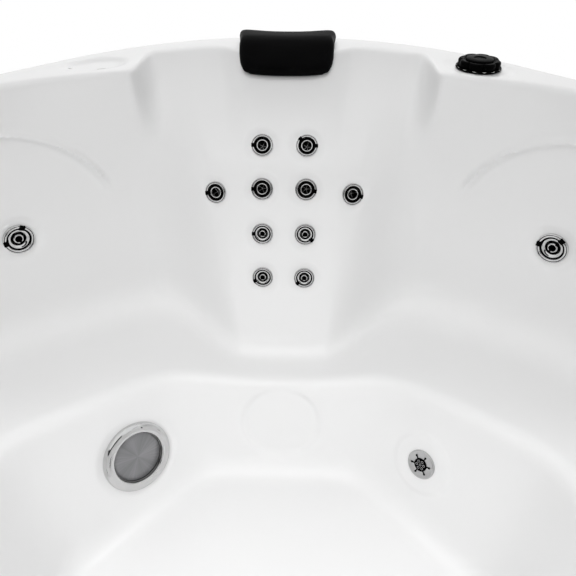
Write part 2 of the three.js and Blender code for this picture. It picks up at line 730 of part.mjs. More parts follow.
function jetManifold() {
  const parts = jetFrames.map((frame) => placed(jetBody(SMALL_JET_RADIUS), frame));
  const back = manifoldPoint;
  const columns = [0, 1].map((side) => [0, 2, 4, 6].map((row) => back(jetFrames[row + side])));
  for (const column of columns) parts.push(solidOf(pipe(column, MANIFOLD_PIPE_RADIUS, 3, 6)));
  const cross = [jetFrames[8], jetFrames[2], jetFrames[3], jetFrames[9]].map(back);
  parts.push(solidOf(pipe(cross, MANIFOLD_PIPE_RADIUS, 4, 6)));
  parts.push(solidOf(pipe([columns[0][3], columns[1][3]], MANIFOLD_PIPE_RADIUS, 1, 6)));
  const foot = manifoldFoot();
  parts.push(solidOf(disc(PIPE_RADIUS, -PIPE_RADIUS, 0, 12).translate(foot.x, foot.y, foot.z)));
  for (const [side, from, turn] of [["left", jetFrames[8], 1], ["right", jetFrames[9], -1]]) {
    const frame = sideJetFrames[side];
    parts.push(placed(jetBody(SIDE_JET_RADIUS), frame));
    const wall = turn * (bodyRadius(SIDE_JET_RADIUS) - JET_BODY_WALL / 2);
    const middle = -SHELL_WALL - JET_BODY_DEPTH / 2;
    const away = SHELL_WALL + 3 * HOSE_RADIUS;
    const along = HOSE_ANGLES.map((folded) =>
      behindWall(SEATS_ANGLE + turn * folded, SIDE_JET_HEIGHT, away),
    );
    const start = [wall, 2 * wall].map((x) => local(frame, x, 0, middle));
    parts.push(solidOf(pipe([...start, ...along, back(from)], HOSE_RADIUS, 9, 5)));
  }
  return piece("jet_manifold", joined(parts), PIPE);
}

// Underwater light: chrome ring, domed lens, and the housing that passes through the wall
function light() {
  const lens = LIGHT_LENS_RADIUS;
  const seat = GAP - SPOT_FACE;
  const ringProfile = [
    [lens, seat],
    [LIGHT_RADIUS, seat],
    [LIGHT_RADIUS, LIGHT_RING_HEIGHT / 3],
    [LIGHT_RADIUS - LIGHT_RING_HEIGHT / 2, LIGHT_RING_HEIGHT],
    [lens + LIGHT_RING_HEIGHT / 3, LIGHT_RING_HEIGHT],
    [lens, LIGHT_RING_HEIGHT / 2],
    [lens, seat],
  ];
  const glass = lens - GAP;
  const dome = LIGHT_RING_HEIGHT / 3;
  const lensProfile = [[0, seat], [glass, seat], [glass, 0], [glass / 2, dome], [0, dome]];
  const back = -SHELL_WALL - LIGHT_HOUSING_DEPTH;
  const inner = glass - LIGHT_HOUSING_WALL;
  const housing = [
    [0, back],
    [glass, back],
    [glass, seat - GAP],
    [inner, seat - GAP],
    [inner, back + LIGHT_HOUSING_WALL],
    [0, back + LIGHT_HOUSING_WALL],
  ];
  return groupAt(lightFrame, [
    piece("light_ring", solidOf(turned(ringProfile, LIGHT_SIDES)), CHROME),
    piece("light_lens", solidOf(turned(lensProfile, LIGHT_SIDES)), LENS),
    piece("light_housing", solidOf(turned(housing, LIGHT_SIDES)), BLACK),
  ]);
}

// Drain: a round cover with six openings, and the body behind it
function drain() {
  const face = DRAIN_PAD_HEIGHT + GAP;
  const top = face + DRAIN_HEIGHT;
  const hub = DRAIN_STEM_RADIUS;
  let cover = solidOf(
    turned([[0, face], [DRAIN_RADIUS, face], [DRAIN_RADIUS, face + DRAIN_HEIGHT / 2],
      [DRAIN_RADIUS - DRAIN_HEIGHT / 2, top], [0, top]], KNOB_SIDES),
  );
  for (let i = 0; i < DRAIN_HOLES; i++) {
    const hole = disc(hub / 5, -OVERRUN, OVERRUN, 6).translate(hub * DRAIN_HOLES_SHARE, 0, 0);
    cover = cover.subtract(solidOf(hole.rotateZ((i * 2 * Math.PI) / DRAIN_HOLES)));
  }
  const wall = DRAIN_STEM_WALL;
  const back = -DRAIN_STEM_LENGTH;
  const body = turned([[hub - wall, back], [hub, back], [hub, DRAIN_PAD_HEIGHT],
    [hub - wall, DRAIN_PAD_HEIGHT], [hub - wall, back]]);
  return groupAt(drainFrame, [
    piece("drain_cover", cover, CHROME),
    piece("drain_body", solidOf(body), PIPE),
  ]);
}

// Suction fittings: a domed cover with slots over a threaded body
function suctions() {
  const root = new THREE.Group();
  suctionFrames.forEach((frame, n) => {
    const seat = GAP - SPOT_FACE;
    const hub = SUCTION_STEM_RADIUS;
    const wall = SUCTION_WALL;
    let cover = solidOf(
      turned([[hub, seat], [SUCTION_RADIUS, seat], [SUCTION_RADIUS, SUCTION_HEIGHT / 2],
        [SUCTION_RADIUS - SUCTION_HEIGHT / 2, SUCTION_HEIGHT], [0, SUCTION_HEIGHT],
        [0, SUCTION_HEIGHT - wall], [hub, SUCTION_HEIGHT - wall], [hub, seat]]),
    );
    for (let i = 0; i < SUCTION_SLOTS; i++) {
      const across = (i - (SUCTION_SLOTS - 1) / 2) * ((2 * hub) / SUCTION_SLOTS);
      const slot = block(hub / SUCTION_SLOTS, 2 * hub * SLOT_LENGTH_SHARE, 0, OVERRUN + SUCTION_HEIGHT);
      cover = cover.subtract(solidOf(slot.translate(across, 0, 0)));
    }
    const back = -SHELL_WALL - SUCTION_BODY_DEPTH;
    const outer = hub - GAP;
    const body = turned([[outer - wall, back], [outer, back], [outer, seat],
      [outer - wall, seat], [outer - wall, back]]);
    const number = String(n + 1);
    root.add(
      groupAt(frame, [
        piece("suction_cover_" + number, cover, BLACK),
        piece("suction_body_" + number, solidOf(body), PIPE),
      ]),
    );
  });
  return root;
}

// Filter: slotted plate on the wall, open housing behind it, pleated cartridge inside
function filter() {
  const width = FILTER_MOUTH_WIDTH - 2 * GAP;
  const height = FILTER_MOUTH_HEIGHT - 2 * GAP;
  const proud = FILTER_PLATE_THICKNESS;
  const lift = GAP - SPOT_FACE;
  let plate = solidOf(block(plateWidth, plateHeight, lift, lift + proud));
  const pitch = height / FILTER_SLOTS;
  for (let i = 0; i < FILTER_SLOTS; i++) {
    const up = (i - (FILTER_SLOTS - 1) / 2) * pitch;
    const slot = block(width * FILTER_SLOT_SHARE, FILTER_SLOT_WIDTH, -OVERRUN, OVERRUN);
    plate = plate.subtract(solidOf(slot.translate(0, up, 0)));
  }
  const wall = FILTER_BODY_WALL;
  const back = lift - GAP - SHELL_WALL - FILTER_BODY_DEPTH;
  const outer = solidOf(block(width, height, back, lift - GAP));
  const hollow = solidOf(block(width - 2 * wall, height - 2 * wall, back + wall, OVERRUN));
  const core = FILTER_CORE_RADIUS;
  const length = height - 2 * wall - 2 * GAP;
  const pleats = [];
  for (let i = 0; i < 2 * FILTER_PLEATS; i++) {
    const turn = (Math.PI * i) / FILTER_PLEATS;
    const reach = i % 2 ? FILTER_RADIUS : FILTER_RADIUS - FILTER_PLEAT_DEPTH;
    pleats.push([reach * Math.cos(turn), reach * Math.sin(turn)]);
  }
  const bundle = solidOf(prism(pleats, -length / 2, length / 2));
  const cartridge = bundle.subtract(solidOf(disc(core, -length, length, 12)));
  const mesh = piece("filter_cartridge", cartridge, PLEATS);
  mesh.rotation.x = Math.PI / 2;
  mesh.position.setZ(back + wall + GAP + FILTER_RADIUS);
  return groupAt(filterFrame, [
    piece("filter_plate", plate, ACRYLIC),
    piece("filter_housing", outer.subtract(hollow), PIPE),
    mesh,
  ]);
}

// Rim controls: diverter, air valve and the control panel with its buttons
function gripKnob(radius, height, low) {
  const top = low + height;
  const edge = height / 4;
  let knob = solidOf(
    turned([[0, low], [radius, low], [radius, top - edge], [radius - edge, top],
      [radius * KNOB_RING_SHARE, top], [radius * KNOB_RING_SHARE - edge / 2, top - edge / 2],
      [0, top - edge / 2]], KNOB_SIDES),
  );
  for (let i = 0; i < KNOB_GRIPS; i++) {
    const grip = disc(radius / 8, low - OVERRUN, top + OVERRUN, 5).translate(radius, 0, 0);
    knob = knob.subtract(solidOf(grip.rotateZ((i * 2 * Math.PI) / KNOB_GRIPS)));
  }
  return knob;
}

function rimValve(names, frame, body, knob) {
  const flangeTop = GAP + VALVE_FLANGE_HEIGHT;
  const bore = boreFor(KNOB_STEM_RADIUS, FITTING_SIDES);
  const floor = -body.depth / 2;
  const valve = turned([
    [0, -body.depth], [body.radius, -body.depth], [body.radius, GAP],
    [body.flange, GAP], [body.flange, flangeTop], [bore, flangeTop], [bore, floor], [0, floor],
  ]);
  const low = flangeTop + GAP;
  const stem = solidOf(disc(KNOB_STEM_RADIUS, floor + GAP, low + knob.height / 2));
  return groupAt(frame, [
    piece(names.body, solidOf(valve), PIPE),
    piece(names.knob, gripKnob(knob.radius, knob.height, low).add(stem), BLACK),
  ]);
}

function controlPanel() {
  const top = GAP + PANEL_HEIGHT;
  const lip = prism(slotOutline(PANEL_LENGTH, PANEL_WIDTH), GAP, top);
  const root = block(PANEL_LENGTH / 2 - 2 * GAP, PANEL_WIDTH / 2 - 2 * GAP, -PANEL_DEPTH, top);
  let body = solidOf(lip).add(solidOf(root));
  const floor = top - BUTTON_HEIGHT;
  const meshes = [-1, 0, 1].map((place, i) => {
    const across = place * BUTTON_PITCH;
    const well = disc(BUTTON_RADIUS + GAP, floor - BUTTON_PROUD, top + OVERRUN, 16);
    body = body.subtract(solidOf(well.translate(across, 0, 0)));
    const cap = turned([[0, floor + GAP], [BUTTON_RADIUS, floor + GAP],
      [BUTTON_RADIUS, top + BUTTON_PROUD / 2], [BUTTON_RADIUS - BUTTON_PROUD, top + BUTTON_PROUD],
      [0, top + BUTTON_PROUD]], 16);
    return piece("button_" + (i + 1), solidOf(cap.translate(across, 0, 0)), STEEL);
  });
  return groupAt(panelFrame, [piece("control_panel", body, BLACK), ...meshes]);
}

// Headrest pillow: it lies over the rim's inner edge and down the back, crowned, with drawn-in sides
function pillow(name, azimuth) {
  const down = new THREE.Vector2(BACK_CHORD - RIM_CHORD, -BACK_DROP).normalize();
  const path = rounded(
    [
      new THREE.Vector2(RIM_CHORD + PILLOW_OVER_RIM, TUB_HEIGHT),
      new THREE.Vector2(RIM_CHORD, TUB_HEIGHT),
      new THREE.Vector2(RIM_CHORD, TUB_HEIGHT).addScaledVector(down, PILLOW_DOWN_BACK),
    ],
    [0, RIM_INNER_ROUND, 0],
    8,
  );
  const track = new THREE.SplineCurve(path);
  const along = 7;
  const across = 9;
  const rows = [];
  for (let i = 0; i <= along; i++) {
    const share = i / along;
    const at = track.getPointAt(share);
    const direction = track.getTangentAt(share);
    const out = new THREE.Vector2(direction.y, -direction.x);
    const half = (PILLOW_WIDTH - PILLOW_TAPER * share) / 2;
    const lowEnd = Math.max(0, (share - PILLOW_BEND_SHARE) / (1 - PILLOW_BEND_SHARE));
    const reach = half * Math.sqrt(1 - PILLOW_END_SHARE * lowEnd ** 3);
    rows.push({ at, out, reach, share });
  }
  const height = (row, turn) => {
    const crown = Math.sqrt(Math.max(0, 1 - turn ** 4));
    const ends = Math.sqrt(Math.max(0, 1 - (2 * row.share - 1) ** 4));
    return PILLOW_EDGE + (PILLOW_CROWN - PILLOW_EDGE) * crown * ends;
  };
  const point = (i, j, lift) => {
    const row = rows[i];
    const turn = (2 * j) / across - 1;
    const rise = lift ? height(row, turn) : 2 * GAP;
    return [
      row.at.x + row.out.x * rise,
      -row.reach * turn,
      row.at.y + row.out.y * rise,
    ];
  };
  const position = [];
  const quad = (a, b, c, d) => position.push(...a, ...b, ...c, ...a, ...c, ...d);
  for (let i = 0; i < along; i++)
    for (let j = 0; j < across; j++) {
      quad(point(i, j, true), point(i + 1, j, true), point(i + 1, j + 1, true), point(i, j + 1, true));
      quad(point(i, j, false), point(i, j + 1, false), point(i + 1, j + 1, false), point(i + 1, j, false));
    }
  for (let i = 0; i < along; i++)
    for (const [j, turn] of [[0, 1], [across, 0]]) {
      const [a, b] = turn ? [i, i + 1] : [i + 1, i];
      quad(point(a, j, true), point(a, j, false), point(b, j, false), point(b, j, true));
    }
  for (let j = 0; j < across; j++)
    for (const [i, turn] of [[0, 0], [along, 1]]) {
      const [a, b] = turn ? [j, j + 1] : [j + 1, j];
      quad(point(i, a, true), point(i, a, false), point(i, b, false), point(i, b, true));
    }
  const geometry = new THREE.BufferGeometry();
  geometry.setAttribute("position", new THREE.Float32BufferAttribute(position, 3));
  const mesh = piece(name, solidOf(geometry), PILLOW);
  mesh.rotation.z = radians(azimuth);
  return mesh;
}

// Cabinet
const SKIN_LOW = PAN_THICKNESS + GAP;
const SKIN_HIGH = TUB_HEIGHT - SHELL_WALL - GAP;

// The plan outline at an inset, with straight sides and the corners in equal steps
function planOutline(inset) {
  const radius = CORNER_RADIUS - inset;
  const points = [];
  for (let quarter = 0; quarter < 4; quarter++)
    for (let i = 0; i <= SLATS_PER_CORNER; i++) {
      const turn = radians(quarter * 90 + (90 * i) / SLATS_PER_CORNER);
      const side = radians(quarter * 90 + HALF_RIGHT);
      const reach = STRAIGHT * Math.SQRT2;
      points.push([
        reach * Math.cos(side) + radius * Math.cos(turn),
        reach * Math.sin(side) + radius * Math.sin(turn),
      ]);
    }
  return points;
}

function slatted(pointAt, slats, start, end) {
  const outer = [];
  const inner = [];
  const slat = (end - start) / slats;
  const groove = SLAT_GROOVE / 2;
  for (let i = 0; i <= slats; i++) {
    const at = start + i * slat;
    if (i > 0) outer.push(pointAt(at, -groove, 0));
    if (i > 0 && i < slats) outer.push(pointAt(at, 0, SLAT_GROOVE_DEPTH));
    if (i < slats) outer.push(pointAt(at, groove, 0));
    inner.push(pointAt(at, i === 0 ? groove : i === slats ? -groove : 0, SKIN_THICKNESS));
  }
  return prism([...outer, ...inner.reverse()], SKIN_LOW, SKIN_HIGH);
}

function cabinet() {
  const root = new THREE.Group();
  const face = HALF - SKIN_INSET;
  const half = STRAIGHT - SEAM / 2;
  const flat = (at, shift, depth) => [face - depth, at + shift];
  const radius = CORNER_RADIUS - SKIN_INSET;
  const bent = (at, shift, depth) => {
    const turn = radians(at) + shift / radius;
    const reach = radius - depth;
    return [STRAIGHT + reach * Math.cos(turn), STRAIGHT + reach * Math.sin(turn)];
  };
  const edge = THREE.MathUtils.radToDeg(SEAM / 2 / radius);
  const names = ["right", "back", "left", "front"];
  names.forEach((name, i) => {
    const board = slatted(flat, SLATS_PER_SIDE, -half, half);
    const corner = slatted(bent, SLATS_PER_CORNER, edge, 2 * HALF_RIGHT - edge);
    const turn = (i * Math.PI) / 2;
    const side = piece("panel_" + name, solidOf(board), CABINET);
    const bend = piece("corner_panel_" + (i + 1), solidOf(corner), CABINET);
    side.rotation.z = turn;
    bend.rotation.z = turn;
    root.add(side, bend);
  });
  return root;
}

function band(inset, thickness, low, high) {
  const outer = solidOf(prism(planOutline(inset), low, high));
  const inner = prism(planOutline(inset + thickness), low - OVERRUN, high + OVERRUN);
  return outer.subtract(solidOf(inner));
}

function frame() {
  const low = PAN_THICKNESS + GAP;
  const high = SKIN_HIGH;
  const parts = [
    band(RAIL_INSET, RAIL_THICKNESS, high - TOP_RAIL_HEIGHT, high),
    band(RAIL_INSET, RAIL_THICKNESS, low, low + BOTTOM_RAIL_HEIGHT),
  ];
  const reach = HALF - RAIL_INSET - RAIL_THICKNESS / 2;
  for (let quarter = 0; quarter < 4; quarter++)
    for (const side of [-1, 1]) {
      const post = block(RAIL_THICKNESS, POST_WIDTH, low, high);
      post.translate(reach, side * (STRAIGHT - POST_WIDTH), 0);
      parts.push(solidOf(post.rotateZ((quarter * Math.PI) / 2)));
    }
  return piece("frame", joined(parts), TIMBER);
}

function basePan() {
  const plate = solidOf(prism(planOutline(SKIN_INSET), 0, PAN_THICKNESS));
  const top = FLOOR_LEVEL - SHELL_WALL - GAP;
  return piece("base_pan", plate.add(solidOf(disc(PEDESTAL_RADIUS, 0, top))), PAN);
}

// Pump, heater and control box, in the frame of the equipment corner:
// local X points out along the diagonal, local Y runs level across the corner.
const EQUIPMENT_TURN = radians(EQUIPMENT_ANGLE);
const BOX_FACE = outline(EQUIPMENT_ANGLE, FRAME_INSET) - BOX_CLEARANCE;
const BOX_REACH = BOX_FACE - BOX_WIDTH / 2;
const MOTOR_REACH = BOX_REACH - BOX_WIDTH / 2 - PUMP_CLEARANCE - WET_END_RADIUS;
const WET_END_FACE = MOTOR_OVERHANG + GAP + WET_END_LENGTH;
const WET_END_MIDDLE = MOTOR_OVERHANG + GAP + WET_END_LENGTH / 2;
const HEATER_LEVEL = PAN_THICKNESS + BOX_HEIGHT + HEATER_RADIUS + HEATER_CAP_WALL + 2 * GAP;

function atEquipment(x, y, z) {
  return new THREE.Vector3(x, y, z).applyAxisAngle(new THREE.Vector3(0, 0, 1), EQUIPMENT_TURN);
}

// Lays a turned form along the pump's axis, its Z towards local -Y, from y = start.
function onPumpAxis(geometry, start) {
  return geometry.rotateX(Math.PI / 2).translate(MOTOR_REACH, -start, PUMP_AXIS_HEIGHT);
}

function pumpMotor() {
  const bore = SHAFT_RADIUS + SHAFT_CLEARANCE;
  const hollow = -MOTOR_LENGTH / 2;
  const shape = turned([
    [0, -MOTOR_LENGTH], [MOTOR_RADIUS, -MOTOR_LENGTH], [MOTOR_RADIUS, 0], [bore, 0],
    [bore, hollow], [0, hollow],
  ]);
  const foot = block(PUMP_FOOT_WIDTH, PUMP_FOOT_LENGTH, SKIN_LOW, PUMP_AXIS_HEIGHT - MOTOR_RADIUS / 2);
  foot.translate(MOTOR_REACH, MOTOR_LENGTH / 2 - MOTOR_OVERHANG, 0);
  const clear = onPumpAxis(disc(bore, hollow - GAP, OVERRUN), MOTOR_OVERHANG);
  const body = solidOf(onPumpAxis(shape, MOTOR_OVERHANG)).add(solidOf(foot));
  return piece("pump_motor", body.subtract(solidOf(clear)), BLACK);
}

// The wet end is open towards the suction pipe, and its spout rises to the heater's side.
function pumpWetEnd() {
  const bore = SHAFT_RADIUS + SHAFT_CLEARANCE;
  const inside = WET_END_LENGTH - WET_END_WALL;
  const volute = turned([
    [bore, 0], [WET_END_RADIUS, 0], [WET_END_RADIUS, WET_END_LENGTH],
    [PORT_RADIUS, WET_END_LENGTH], [PORT_RADIUS, inside],
    [WET_END_RADIUS - WET_END_WALL, inside], [WET_END_RADIUS - WET_END_WALL, WET_END_WALL],
    [bore, WET_END_WALL], [bore, 0],
  ]);
  const top = PUMP_AXIS_HEIGHT + WET_END_RADIUS;
  const reach = BOX_REACH - HEATER_RADIUS - HEATER_CAP_WALL - GAP;
  const y = -WET_END_MIDDLE;
  const spout = pipe(
    [
      new THREE.Vector3(MOTOR_REACH, y, top - WET_END_WALL / 2),
      new THREE.Vector3(MOTOR_REACH, y, HEATER_LEVEL - PIPE_RADIUS),
      new THREE.Vector3(MOTOR_REACH + PIPE_RADIUS, y, HEATER_LEVEL),
      new THREE.Vector3(reach - PIPE_RADIUS, y, HEATER_LEVEL),
      new THREE.Vector3(reach, y, HEATER_LEVEL),
    ],
    PORT_RADIUS,
    7,
  );
  const solid = solidOf(onPumpAxis(volute, MOTOR_OVERHANG + GAP)).add(solidOf(spout));
  return piece("pump_wet_end", solid, BLACK);
}

function pumpRotor() {
  const start = -MOTOR_LENGTH / 2 + OVERRUN;
  const middle = WET_END_LENGTH / 2;
  const rear = middle - IMPELLER_THICKNESS / 2;
  const rotor = turned([
    [0, start], [SHAFT_RADIUS, start], [SHAFT_RADIUS, rear], [IMPELLER_RADIUS, rear],
    [IMPELLER_RADIUS, middle], [2 * SHAFT_RADIUS, middle + IMPELLER_THICKNESS / 2],
    [0, middle + IMPELLER_THICKNESS / 2],
  ]);
  return piece("pump_rotor", solidOf(onPumpAxis(rotor, MOTOR_OVERHANG + GAP)), STEEL);
}

// The heater tube lies on the control box, which stands on the pan.
function heater() {
  const cap = HEATER_RADIUS + HEATER_CAP_WALL;
  const half = HEATER_LENGTH / 2;
  const tube = turned([
    [0, -half], [cap, -half], [cap, -half + HEATER_CAP_LENGTH],
    [HEATER_RADIUS, -half + HEATER_CAP_LENGTH], [HEATER_RADIUS, half - HEATER_CAP_LENGTH],
    [cap, half - HEATER_CAP_LENGTH], [cap, half], [0, half],
  ]);
  const laid = solidOf(tube.rotateX(Math.PI / 2).translate(BOX_REACH, 0, HEATER_LEVEL));
  const reach = BOX_REACH - cap;
  const port = disc(PORT_RADIUS, 0, cap).rotateY(Math.PI / 2);
  return piece("heater", laid.add(solidOf(port.translate(reach, -WET_END_MIDDLE, HEATER_LEVEL))), STEEL);
}

function equipment() {
  const group = new THREE.Group();
  group.rotation.z = EQUIPMENT_TURN;
  const box = block(BOX_WIDTH, BOX_LENGTH, SKIN_LOW, SKIN_LOW + BOX_HEIGHT);
  box.translate(BOX_REACH, 0, 0);
  group.add(pumpMotor(), pumpWetEnd(), pumpRotor(), heater());
  group.add(piece("control_box", solidOf(box), PIPE));
  return group;
}

// Pipes under the seats: both suction fittings and the filter to the pump, heater to the jets
function runAt(angle, reach, height = PIPE_LEVEL) {
  const turn = radians(angle);
  return new THREE.Vector3(reach * Math.cos(turn), reach * Math.sin(turn), height);
}

function suctionPipe() {
  const [far, near] = suctionFrames;
  const back = (fitting, away) => local(fitting, 0, 0, -SHELL_WALL - SUCTION_BODY_DEPTH - away);
  const inlet = (away) => atEquipment(MOTOR_REACH, -WET_END_FACE - away, PUMP_AXIS_HEIGHT);
  const main = [
    back(near, GAP),
    back(near, PIPE_RADIUS),
    ...SUCTION_RUN_ANGLES.map((angle) => runAt(angle, PIPE_REACH, PUMP_AXIS_HEIGHT)),
    inlet(2 * PIPE_RADIUS),
    inlet(PIPE_RADIUS),
    inlet(GAP),
  ];
  const link = [
    back(far, GAP),
    back(far, PIPE_RADIUS),
    ...SUCTION_LINK_ANGLES.map((angle) => runAt(angle, PIPE_TIGHT_REACH)),
    back(near, PIPE_RADIUS),
  ];
  const bottom = -FILTER_MOUTH_HEIGHT / 2;
  const behind = -SHELL_WALL - FILTER_BODY_DEPTH / 2;
  const filterRun = [
    local(filterFrame, 0, bottom - GAP, behind),
    local(filterFrame, 0, bottom - PIPE_RADIUS, behind),
    local(filterFrame, 0, bottom - 2 * PIPE_RADIUS, behind),
    ...FILTER_RUN_ANGLES.map((angle) => runAt(angle, PIPE_TIGHT_REACH)),
    back(far, PIPE_RADIUS),
  ];
  const runs = [pipe(main, PIPE_RADIUS, 12), pipe(link, PIPE_RADIUS, 12), pipe(filterRun, PIPE_RADIUS, 9)];
  return piece("suction_pipe", joined(runs.map(solidOf)), PIPE);
}

function pressurePipe() {
  const outlet = (away) => atEquipment(BOX_REACH, HEATER_LENGTH / 2 + away, HEATER_LEVEL);
  const foot = manifoldFoot();
  const under = (drop) => foot.clone().setZ(foot.z - drop);
  const points = [
    outlet(GAP),
    outlet(PIPE_RADIUS),
    outlet(2 * PIPE_RADIUS),
    ...PRESSURE_RUN_ANGLES.map((angle) => runAt(angle, PIPE_REACH)),
    under(3 * PIPE_RADIUS),
    under(2 * PIPE_RADIUS),
    under(PIPE_RADIUS + GAP),
  ];
  return piece("pressure_pipe", solidOf(pipe(points, PIPE_RADIUS, 18)), PIPE);
}

const hotTub = new THREE.Group();
hotTub.name = "hot_tub";
hotTub.add(
  shell(),
  ...jets(),
  jetManifold(),
  light(),
  drain(),
  suctions(),
  filter(),
  rimValve(
    { body: "diverter_body", knob: "diverter_knob" },
    diverterFrame,
    { radius: VALVE_RADIUS, flange: VALVE_FLANGE_RADIUS, depth: VALVE_DEPTH },
    { radius: KNOB_RADIUS, height: KNOB_HEIGHT },
  ),
  rimValve(
    { body: "air_valve_body", knob: "air_knob" },
    airFrame,
    { radius: AIR_VALVE_RADIUS, flange: AIR_FLANGE_RADIUS, depth: AIR_VALVE_DEPTH },
    { radius: AIR_KNOB_RADIUS, height: AIR_KNOB_HEIGHT },
  ),
  controlPanel(),
  pillow("pillow_1", SEATS_ANGLE),
  pillow("pillow_2", SEATS_ANGLE + 180),
  pillow("pillow_3", SEATS_ANGLE - 90),
  cabinet(),
  frame(),
  basePan(),
  equipment(),
  suctionPipe(),
  pressurePipe(),
);

export default hotTub;
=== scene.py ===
import json
import math
import bmesh
import bpy
import numpy as np
from mathutils import Matrix, Vector

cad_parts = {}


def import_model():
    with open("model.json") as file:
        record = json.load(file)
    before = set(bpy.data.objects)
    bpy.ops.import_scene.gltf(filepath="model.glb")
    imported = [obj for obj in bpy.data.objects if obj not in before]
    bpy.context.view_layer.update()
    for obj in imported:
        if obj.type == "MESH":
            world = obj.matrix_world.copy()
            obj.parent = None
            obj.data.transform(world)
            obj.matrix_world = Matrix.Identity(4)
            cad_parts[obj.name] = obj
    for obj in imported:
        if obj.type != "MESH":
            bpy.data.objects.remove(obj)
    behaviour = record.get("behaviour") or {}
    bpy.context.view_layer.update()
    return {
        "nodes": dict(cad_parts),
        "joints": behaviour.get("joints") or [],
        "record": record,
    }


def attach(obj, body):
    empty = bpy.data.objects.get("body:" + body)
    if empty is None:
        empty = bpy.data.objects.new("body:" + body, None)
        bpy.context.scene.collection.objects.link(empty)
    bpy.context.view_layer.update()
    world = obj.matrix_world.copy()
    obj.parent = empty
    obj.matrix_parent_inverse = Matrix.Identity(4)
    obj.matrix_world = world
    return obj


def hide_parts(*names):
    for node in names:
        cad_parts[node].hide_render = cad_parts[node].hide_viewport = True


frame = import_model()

# The tub as a whole
TUB_SIDE = 2.0
TUB_HEIGHT = 0.9
CORNER_RADIUS = 0.7
TUB_DEPTH = 0.84
SHELL_WALL = 0.012
RIM_LIP = 0.06
# Left between pieces that lie on each other
GAP = 0.0003
HALF = TUB_SIDE / 2

# The shell's levels and rounds
RIM_WIDTH_SIDE = 0.082
RIM_WIDTH_CORNER = 0.144
RIM_BAY = 0.042
RIM_FLARE = 0.014
BACK_DROP = 0.15
BACK_IN_SIDE = 0.025
BACK_IN_CORNER = 0.18
FOOT_IN_SIDE = 0.025
FOOT_IN_CORNER = 0.16
RIM_LOBE_RADIUS = 0.7
BACK_LOBE_RADIUS = 0.9
FOOT_LOBE_RADIUS = 1.3
SEAT_DROP = 0.55
SEAT_SWING = 0.072
SEAT_DISH = 0.008
FOOTWELL_CORNER = 0.528
FOOTWELL_SIDE = 0.563
FLOOR_REACH = 0.445
ROUNDS = [0, 0.05, 0.032, 0.095, 0.11, 0.014, 0.022, 0]
# The wall is thicker under the broad round of the back, which cuts deeper than the wall elsewhere
BACK_ROUND_DEPTH = 0.014
BLEND_ANGLES = {"foot": (9, 24), "back": (12, 21.5), "rim": (17, 21.5)}
FOOTWELL_POWER = 26
LONGEST_ROUND_SHARE = 0.45
SEATS_ANGLE = 45

# Rows of the shell's mesh along each straight stretch, round each corner and underneath
STRAIGHT_ROWS = [6, 40, 9, 70, 12, 20, 4]
ROUND_ROWS = [0, 7, 7, 10, 36, 7, 6, 0]
UNDER_ROWS = [1, 2, 1, 2, 1, 2, 1]
# Columns: from and to direction, and the step between them
COLUMN_STEPS = [(-12, 19, 0.42), (19, 30, 0.46), (30, 60, 0.42), (60, 71, 0.46), (71, 102, 0.42), (102, 348, 2.0)]

# Moulded details
JET_SEAT_DEPTH = 0.004
SMALL_JET_RADIUS = 0.025
SIDE_JET_RADIUS = 0.034
DIMPLE_SHARE = 1.72
ARCH_RADIUS = 0.226
ARCH_HEIGHT = 0.01
ARCH_EDGE = 0.01
ARCH_FADE = 0.012
# Where each arch fades in and out, in degrees from upright towards the corner seat
ARCH_START = (-78, -60)
ARCH_END = (60, 80)
ROUND_RECESS_RADIUS = 0.097
ROUND_RECESS_DEPTH = 0.006
ROUND_RECESS_DROP = 0.722
DRAIN_PAD_RADIUS = 0.07
DRAIN_PAD_HEIGHT = 0.003
SPOT_FACE = 0.002
# How far to each side of a fitting's plane the surface is still pressed
REACH_OF_PRESS = 0.045
VALVE_RECESS = 0.052
TRAY_LENGTH = 0.15
TRAY_WIDTH = 0.084
TRAY_DEPTH = 0.006
RIM_FITTING_ANGLE = 25
RIM_FITTING_REACH = 0.97

# Fittings: places on the walls
SMALL_JETS = 10
DIRECTIONAL_JETS = range(4, 8)
SIDE_JET_OFFSET = 0.054
SIDE_JET_DROP = 0.313
FOOTWELL_FITTING_DROP = 0.713
FOOTWELL_FITTING_OFFSET = 0.042
LIGHT_RADIUS = 0.08
LIGHT_LENS_RADIUS = 0.058
LIGHT_HEIGHT = 0.012
LENS_DEPTH = 0.006
GASKET_WIDTH = 0.0025
DRAIN_RADIUS = 0.033
DRAIN_STEM_RADIUS = 0.02
DRAIN_HEIGHT = 0.005
DRAIN_SPOKES = 6
SUCTION_RADIUS = 0.062
SUCTION_STEM_RADIUS = 0.03
SUCTION_HEIGHT = 0.022
SUCTION_BARS = 9
SUCTION_DROP = 0.7
FILTER_DROP = 0.3
FILTER_MOUTH = (0.15, 0.22)
FILTER_BORDER = 0.022
LOUVRES = 9
VALVE_STEM_RADIUS = 0.03
AIR_STEM_RADIUS = 0.02
KNOB_RADIUS = 0.044
KNOB_HEIGHT = 0.0155
KNOB_FLANGE = 0.047
KNOB_LOBES = 8
AIR_KNOB_RADIUS = 0.026
AIR_KNOB_HEIGHT = 0.015
AIR_KNOB_FLANGE = 0.029
AIR_KNOB_LOBES = 6
FLANGE_HEIGHT = 0.0035
PANEL_LENGTH = 0.15
PANEL_WIDTH = 0.076


# The shell's surface

def smooth(value, low, high):
    """0 below low, 1 above high, and a smooth step between them."""
    share = np.clip((np.asarray(value, float) - low) / (high - low), 0, 1)
    return share * share * (3 - 2 * share)


def fold(angle):
    """Degrees from the nearest corner: 0 at a corner, 45 in the middle of a side."""
    return abs(angle % 90 - 45)


def circle_reach(centre, radius, turn):
    """How far out a circle reaches, at a turn from the line to its centre."""
    return centre * math.cos(turn) + math.sqrt(radius ** 2 - (centre * math.sin(turn)) ** 2)


